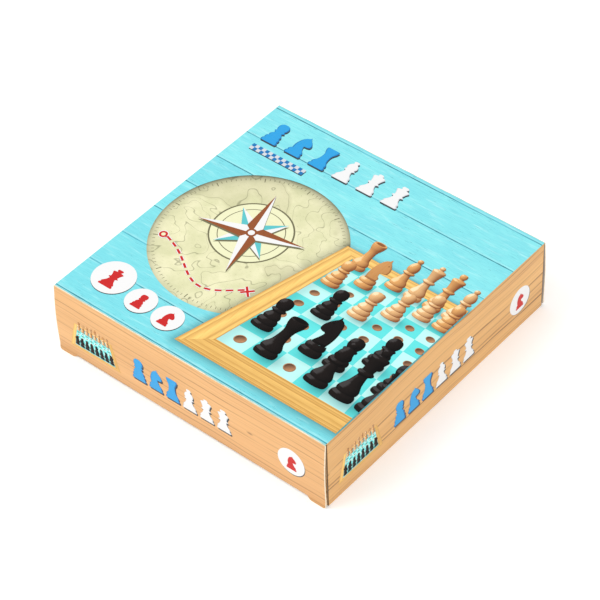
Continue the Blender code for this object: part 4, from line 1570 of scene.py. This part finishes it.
def board_rail(word, turn_deg, x_run):
    """One mitred side of the frame, with its grain along its length."""
    profile = rail_profile()
    half = HALF - BOARD_INSET
    shape = bmesh.new()
    chart = shape.loops.layers.uv.new("place")
    turn = Matrix.Rotation(math.radians(turn_deg), 4, "Z")
    rings = []
    arc = [0.0]
    for before, after in zip(profile, profile[1:]):
        arc.append(arc[-1] + math.dist(before, after))
    arc.append(arc[-1] + SEAM_RUN)
    for share in (-1.0, -0.5, 0.0, 0.5, 1.0):
        ring = []
        for across, up in profile:
            reach = half - across - MITRE_GAP
            ring.append(shape.verts.new(turn @ Vector((share * reach, across - half, up))))
        rings.append((share, ring))
    count = len(profile)
    for (share_a, first), (share_b, second) in zip(rings, rings[1:]):
        for index in range(count):
            after = (index + 1) % count
            face = shape.faces.new((first[index], first[after], second[after], second[index]))
            ends = {first[index]: (share_a, index), first[after]: (share_a, index + 1),
                    second[after]: (share_b, index + 1), second[index]: (share_b, index)}
            for loop in face.loops:
                share, place = ends[loop.vert]
                run = PER_METRE * share * half
                loop[chart].uv = (run + x_run, PER_METRE * arc[place] + x_run)
    for _, ring in (rings[0], rings[-1]):
        face = shape.faces.new(ring)
        for loop, (across, up) in zip(face.loops, profile):
            loop[chart].uv = (PER_METRE * up, PER_METRE * across)
    bmesh.ops.recalc_face_normals(shape, faces=shape.faces)
    name = f"{word}_moulding"
    nodes = (f"{word}_rail",)
    mesh = finished(shape, name)
    new_piece(name, mesh, ROOT, [LOOKS["frame_wood"]], nodes, MOULDING_SMOOTH_DEG)


def turned_mesh(kind, base, tall, flat_top):
    """A smooth turned figure with its peg below the seat."""
    profile = [
        (PEG_RADIUS - PEG_CHAMFER, -PEG_LENGTH),
        (PEG_RADIUS, PEG_CHAMFER - PEG_LENGTH),
        (PEG_RADIUS, -SEAT_DIP),
    ]
    profile += [(r * base / 2, z * tall) for r, z in curve_points(FIGURE_SHARES[kind], 3)]
    shape = bmesh.new()
    chart = shape.loops.layers.uv.new("place")
    ways = round_ways(TURNED_SIDES)
    rings = []
    for radius, height in profile:
        rings.append([shape.verts.new((radius * c, radius * s, height)) for c, s in ways])
    ring_faces(shape, rings)
    shape.faces.new(list(reversed(rings[0])))
    last = rings[-1]
    if flat_top:
        shape.faces.new(last)
    else:
        tip = shape.verts.new((0.0, 0.0, tall))
        for first, after in zip(last, last[1:] + last[:1]):
            shape.faces.new((first, after, tip))
    wood_chart(shape, chart)
    return finished(shape, kind)


def wood_chart(shape, chart):
    """Grain runs up the piece: the UV map is a flat slice through the wood."""
    chart_faces(shape.faces, chart, lambda at: (at.x + 0.35 * at.y, at.z))


# The head's section from one cheek to the other: (share of the outline, share of half its thickness)
CHEEK_SHARES = ((0.80, 1.0), (0.93, 0.86), (1.0, 0.62), (1.0, -0.62), (0.93, -0.86), (0.80, -1.0))


def horse_mesh(base, tall):
    """The knight's flat-cut head, with chamfered edges, ears and an eye."""
    half = HORSE_THICK / 2
    shape = bmesh.new()
    chart = shape.loops.layers.uv.new("place")
    outline = [(a * base / 2, b * tall) for a, b in HORSE_SHARES]
    middle = Vector((sum(a for a, _ in outline), sum(b for _, b in outline))) / len(outline)
    rings = []
    for inset, depth in CHEEK_SHARES:
        ring = []
        for a, b in outline:
            x, z = middle.x + (a - middle.x) * inset, middle.y + (b - middle.y) * inset
            ring.append(shape.verts.new((x, depth * half, z)))
        rings.append(ring)
    ring_faces(shape, rings)
    shape.faces.new(rings[0])
    shape.faces.new(list(reversed(rings[-1])))
    for sign in (-1, 1):
        eye_dots(shape, Vector((0.42 * base / 2, sign * half, 0.79 * tall)), sign)
    bmesh.ops.recalc_face_normals(shape, faces=shape.faces)
    wood_chart(shape, chart)
    return shape


def eye_dots(shape, at, sign):
    """A small raised eye on one side of the head."""
    rings = []
    for share, rise in ((1.0, -0.3), (0.9, 0.25), (0.5, 0.45)):
        ring = []
        for c, s in round_ways(EYE_SIDES):
            reach = EYE_RADIUS * Vector((share * c, sign * rise, share * s))
            ring.append(shape.verts.new(at + reach))
        rings.append(ring)
    ring_faces(shape, rings)
    shape.faces.new(rings[0])
    shape.faces.new(rings[-1])


def knight_whole(base, tall):
    """The knight: its turned foot and its head in one mesh."""
    foot = turned_mesh("knight", base, tall, True)
    shape = horse_mesh(base, tall)
    shape.from_mesh(foot)
    return finished(shape, "knight_whole")


def chess_pieces():
    """A smooth piece for each CAD piece, where the CAD has it and with its size."""
    whole_kinds = {}
    for name in sorted(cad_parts):
        if not name.startswith(("light_", "dark_")):
            continue
        colour, kind, _ = name.split("_")
        low, high = span(name)
        seat = low.z + PEG_LENGTH
        tall = high.z - seat
        base = max(high.x - low.x, high.y - low.y)
        if kind not in whole_kinds:
            if kind == "knight":
                whole_kinds[kind] = knight_whole(base, tall)
            else:
                whole_kinds[kind] = turned_mesh(kind, base, tall, kind == "rook")
        mesh = whole_kinds[kind].copy()
        middle = Vector(((low.x + high.x) / 2, (low.y + high.y) / 2, seat))
        centre = Vector((square_centre(middle.x), square_centre(middle.y), seat))
        turn = Matrix.Rotation(math.pi if colour == "dark" else 0.0, 4, "Z")
        mesh.transform(Matrix.Translation(centre) @ turn)
        look = LOOKS[colour + "_wood"]
        new_piece(f"{name}_turned", mesh, name, [look], (name,), TURNED_SMOOTH_DEG)


def square_centre(value):
    """The middle of the square that a coordinate lies in."""
    return (math.floor(value / SQUARE) + 0.5) * SQUARE


def dress_cad():
    """Better materials for the CAD nodes that stay as they are."""
    for name, look in (("backing_board", "hardboard"), ("rules_leaflet", "paper")):
        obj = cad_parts[name]
        for slot in obj.material_slots:
            slot.material = LOOKS[look]


# Stage


def floor():
    """A wide pale floor that the carton stands on."""
    shape = bmesh.new()
    places = spread(-FLOOR_REACH, FLOOR_REACH, FLOOR_STEPS)
    grid = [[shape.verts.new((x, y, FLOOR_Z)) for y in places] for x in places]
    for near, far in zip(grid, grid[1:]):
        for row in range(FLOOR_STEPS):
            shape.faces.new((near[row], far[row], far[row + 1], near[row + 1]))
    mesh = finished(shape, "floor")
    recipe = Recipe("floor_paper", 0.9)
    cloud = recipe.noise(recipe.place(by="Object"), 3.0, 2.0)
    recipe.shader.inputs["Emission Color"].default_value = (1.0, 1.0, 1.0, 1.0)
    recipe.shader.inputs["Emission Strength"].default_value = FLOOR_GLOW
    mesh.materials.append(recipe.colour(recipe.mix(cloud, (0.93, 0.92, 0.91), (0.95, 0.94, 0.93))))
    piece = bpy.data.objects.new("floor", mesh)
    bpy.context.scene.collection.objects.link(piece)
    piece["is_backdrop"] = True


def lamp(name, place, size, power, colour):
    """A square lamp that faces the carton."""
    data = bpy.data.lights.new(name, "AREA")
    data.shape = "SQUARE"
    data.size = size
    data.energy = power
    data.color = colour
    made = bpy.data.objects.new(name, data)
    made.location = place
    way = Vector(LAMP_AIM) - Vector(place)
    made.rotation_euler = way.to_track_quat("-Z", "Y").to_euler()
    bpy.context.scene.collection.objects.link(made)


def studio():
    world = bpy.data.worlds.new("studio")
    world.use_nodes = True
    background = world.node_tree.nodes["Background"]
    background.inputs["Color"].default_value = (1.0, 1.0, 1.0, 1.0)
    background.inputs["Strength"].default_value = WORLD_STRENGTH
    bpy.context.scene.world = world
    for values in LAMPS:
        lamp(*values)
    bpy.context.scene.view_settings.view_transform = "Standard"


LOOKS = {}


TAN, DEEP_TAN, BROWN = (0.80, 0.46, 0.20), (0.79, 0.455, 0.172), (0.42, 0.19, 0.06)
# Light and dark colour, contrast, shift of the grain, lines in 10 mm
WOOD_PRINTS = {
    "wood_front": (TAN, BROWN, 0.48, 3.1, 2.3),
    "wood_right": (DEEP_TAN, BROWN, 0.85, 7.7, 1.7),
    "wood_left": (TAN, BROWN, 0.7, 12.3, 1.9),
    "wood_bottom": (TAN, BROWN, 0.6, 21.9, 1.2),
}
CREASE_INKS = {
    "teal_crease": ((0.35, 0.62, 0.60),),
    "wood_crease": ((0.62, 0.36, 0.15),),
}
FRAME_TONES = ((0.34, 0.125, 0.012), (1.0, 0.64, 0.19), 0.34)
FRAME_GRAIN = (0.55, 0.26, 0.04)
# Dark and light colour, then the grain's strength, stretch and colour, then that of the highlights
SHADED_PRINTS = {
    "frame_print_level": (*FRAME_TONES, (0.45, 7.0, 1.0), FRAME_GRAIN),
    "frame_print_upright": (*FRAME_TONES, (7.0, 0.45, 1.0), FRAME_GRAIN),
    "square_teal": (
        (0.01, 0.17, 0.18), (0.115, 0.74, 0.73), 0.12, (0.6, 6.0, 1.0), (0.03, 0.50, 0.52),
    ),
    "square_pale": (
        (0.08, 0.24, 0.25), (0.50, 0.90, 0.86), 0.12, (0.6, 6.0, 1.0), (0.36, 0.72, 0.72),
    ),
    "hole_print": (
        (0.05, 0.02, 0.01), (0.66, 0.32, 0.15), 0.2, (6.0, 6.0, 1.0), (0.2, 0.08, 0.03),
    ),
    "figure_light": (
        (0.24, 0.075, 0.018), (0.86, 0.52, 0.235), 0.30, (7.0, 0.8, 1.0),
        (0.50, 0.23, 0.075), (0.98, 0.78, 0.50),
    ),
    "figure_honey": (
        (0.20, 0.05, 0.010), (0.80, 0.41, 0.135), 0.35, (7.0, 0.8, 1.0),
        (0.46, 0.18, 0.045), (0.97, 0.68, 0.36),
    ),
    "figure_dark": (
        (0.0015, 0.001, 0.001), (0.012, 0.008, 0.007), 0.3, (6.0, 3.0, 1.0),
        (0.003, 0.002, 0.002), (0.055, 0.050, 0.050),
    ),
}
# Colour and how much it varies
INKS = {
    # Painted shade: the dust flaps' crease, dark like the shadowed gap beside a closure
    "gap_crease": ((0.15, 0.075, 0.028), 0.06),
    "ink_white": ((0.62, 0.66, 0.70), 0.06),
    "ink_disc": ((0.82, 0.82, 0.82), 0.02),
    "ink_shadow": ((0.035, 0.045, 0.05), 0.06),
    "ink_blue": ((0.006, 0.17, 0.45), 0.06),
    "ink_blue_lit": ((0.02, 0.34, 0.72), 0.06),
    "ink_white_lit": ((0.82, 0.82, 0.82), 0.02),
    "ink_red": ((0.56, 0.012, 0.012), 0.06),
    "ink_olive": ((0.16, 0.15, 0.08), 0.06),
    "ink_cream": ((0.80, 0.80, 0.52), 0.06),
    "ink_brown": ((0.28, 0.075, 0.018), 0.2),
    "ink_teal": ((0.10, 0.52, 0.55), 0.06),
}
PAINTS = {
    "painted_teal": ((0.10, 0.62, 0.64),),
    "painted_pale": ((0.62, 0.80, 0.77),),
}
# Light and dark colour, whether its grain runs along the UV map's first part, roughness
WOODS = {
    "hole_wood": ((0.50, 0.28, 0.13), (0.28, 0.13, 0.05), False, 0.6),
    "frame_wood": ((0.80, 0.48, 0.15), (0.50, 0.22, 0.05), True, 0.38),
    "light_wood": ((0.78, 0.50, 0.25), (0.52, 0.27, 0.10), False, 0.38),
    "dark_wood": ((0.016, 0.011, 0.010), (0.007, 0.005, 0.005), False, 0.30),
}


def make_looks():
    for recipe, table in (
        (wood_print, WOOD_PRINTS),
        (crease_print, CREASE_INKS),
        (shaded_print, SHADED_PRINTS),
        (ink, INKS),
        (painted_square, PAINTS),
        (solid_wood, WOODS),
    ):
        for name, values in table.items():
            LOOKS[name] = recipe(name, *values)
    LOOKS["planks"] = planks_print()
    LOOKS["dial_print"] = dial_print()
    LOOKS["inside"] = card_inside()
    LOOKS["edge"] = card_edge()
    LOOKS["hardboard"] = hardboard()
    LOOKS["paper"] = paper()


def carton():
    inside, edge = LOOKS["inside"], LOOKS["edge"]
    outer = [LOOKS[name] for name in ("planks", "wood_right", "wood_left", "wood_bottom")]
    sleeve([*outer, inside, edge])
    for word, end in (("front", -1), ("rear", 1)):
        closures(word, end, [LOOKS["wood_front"], inside, edge])
        for side_word, side in (("left", -1), ("right", 1)):
            dust(word, end, side_word, side, [LOOKS["wood_left"], inside, edge])
    top_picture()
    side_picture("front_print", end_surface(-1), "front_closure", PRINT_CUT)
    side_picture("rear_print", end_surface(1), "rear_closure", PRINT_CUT)
    side_picture("right_print", right_surface, ROOT)
    side_picture("left_print", left_surface, ROOT)


def board():
    board_plate()
    for word, turn_deg in (("front", 0), ("right", 90), ("rear", 180), ("left", 270)):
        board_rail(word, turn_deg, turn_deg / 10)
    chess_pieces()


def main():
    make_camera()
    make_looks()
    carton()
    board()
    dress_cad()
    floor()
    studio()


main()
[[list(corner) for corner in box] for box in (cad_box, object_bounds())]
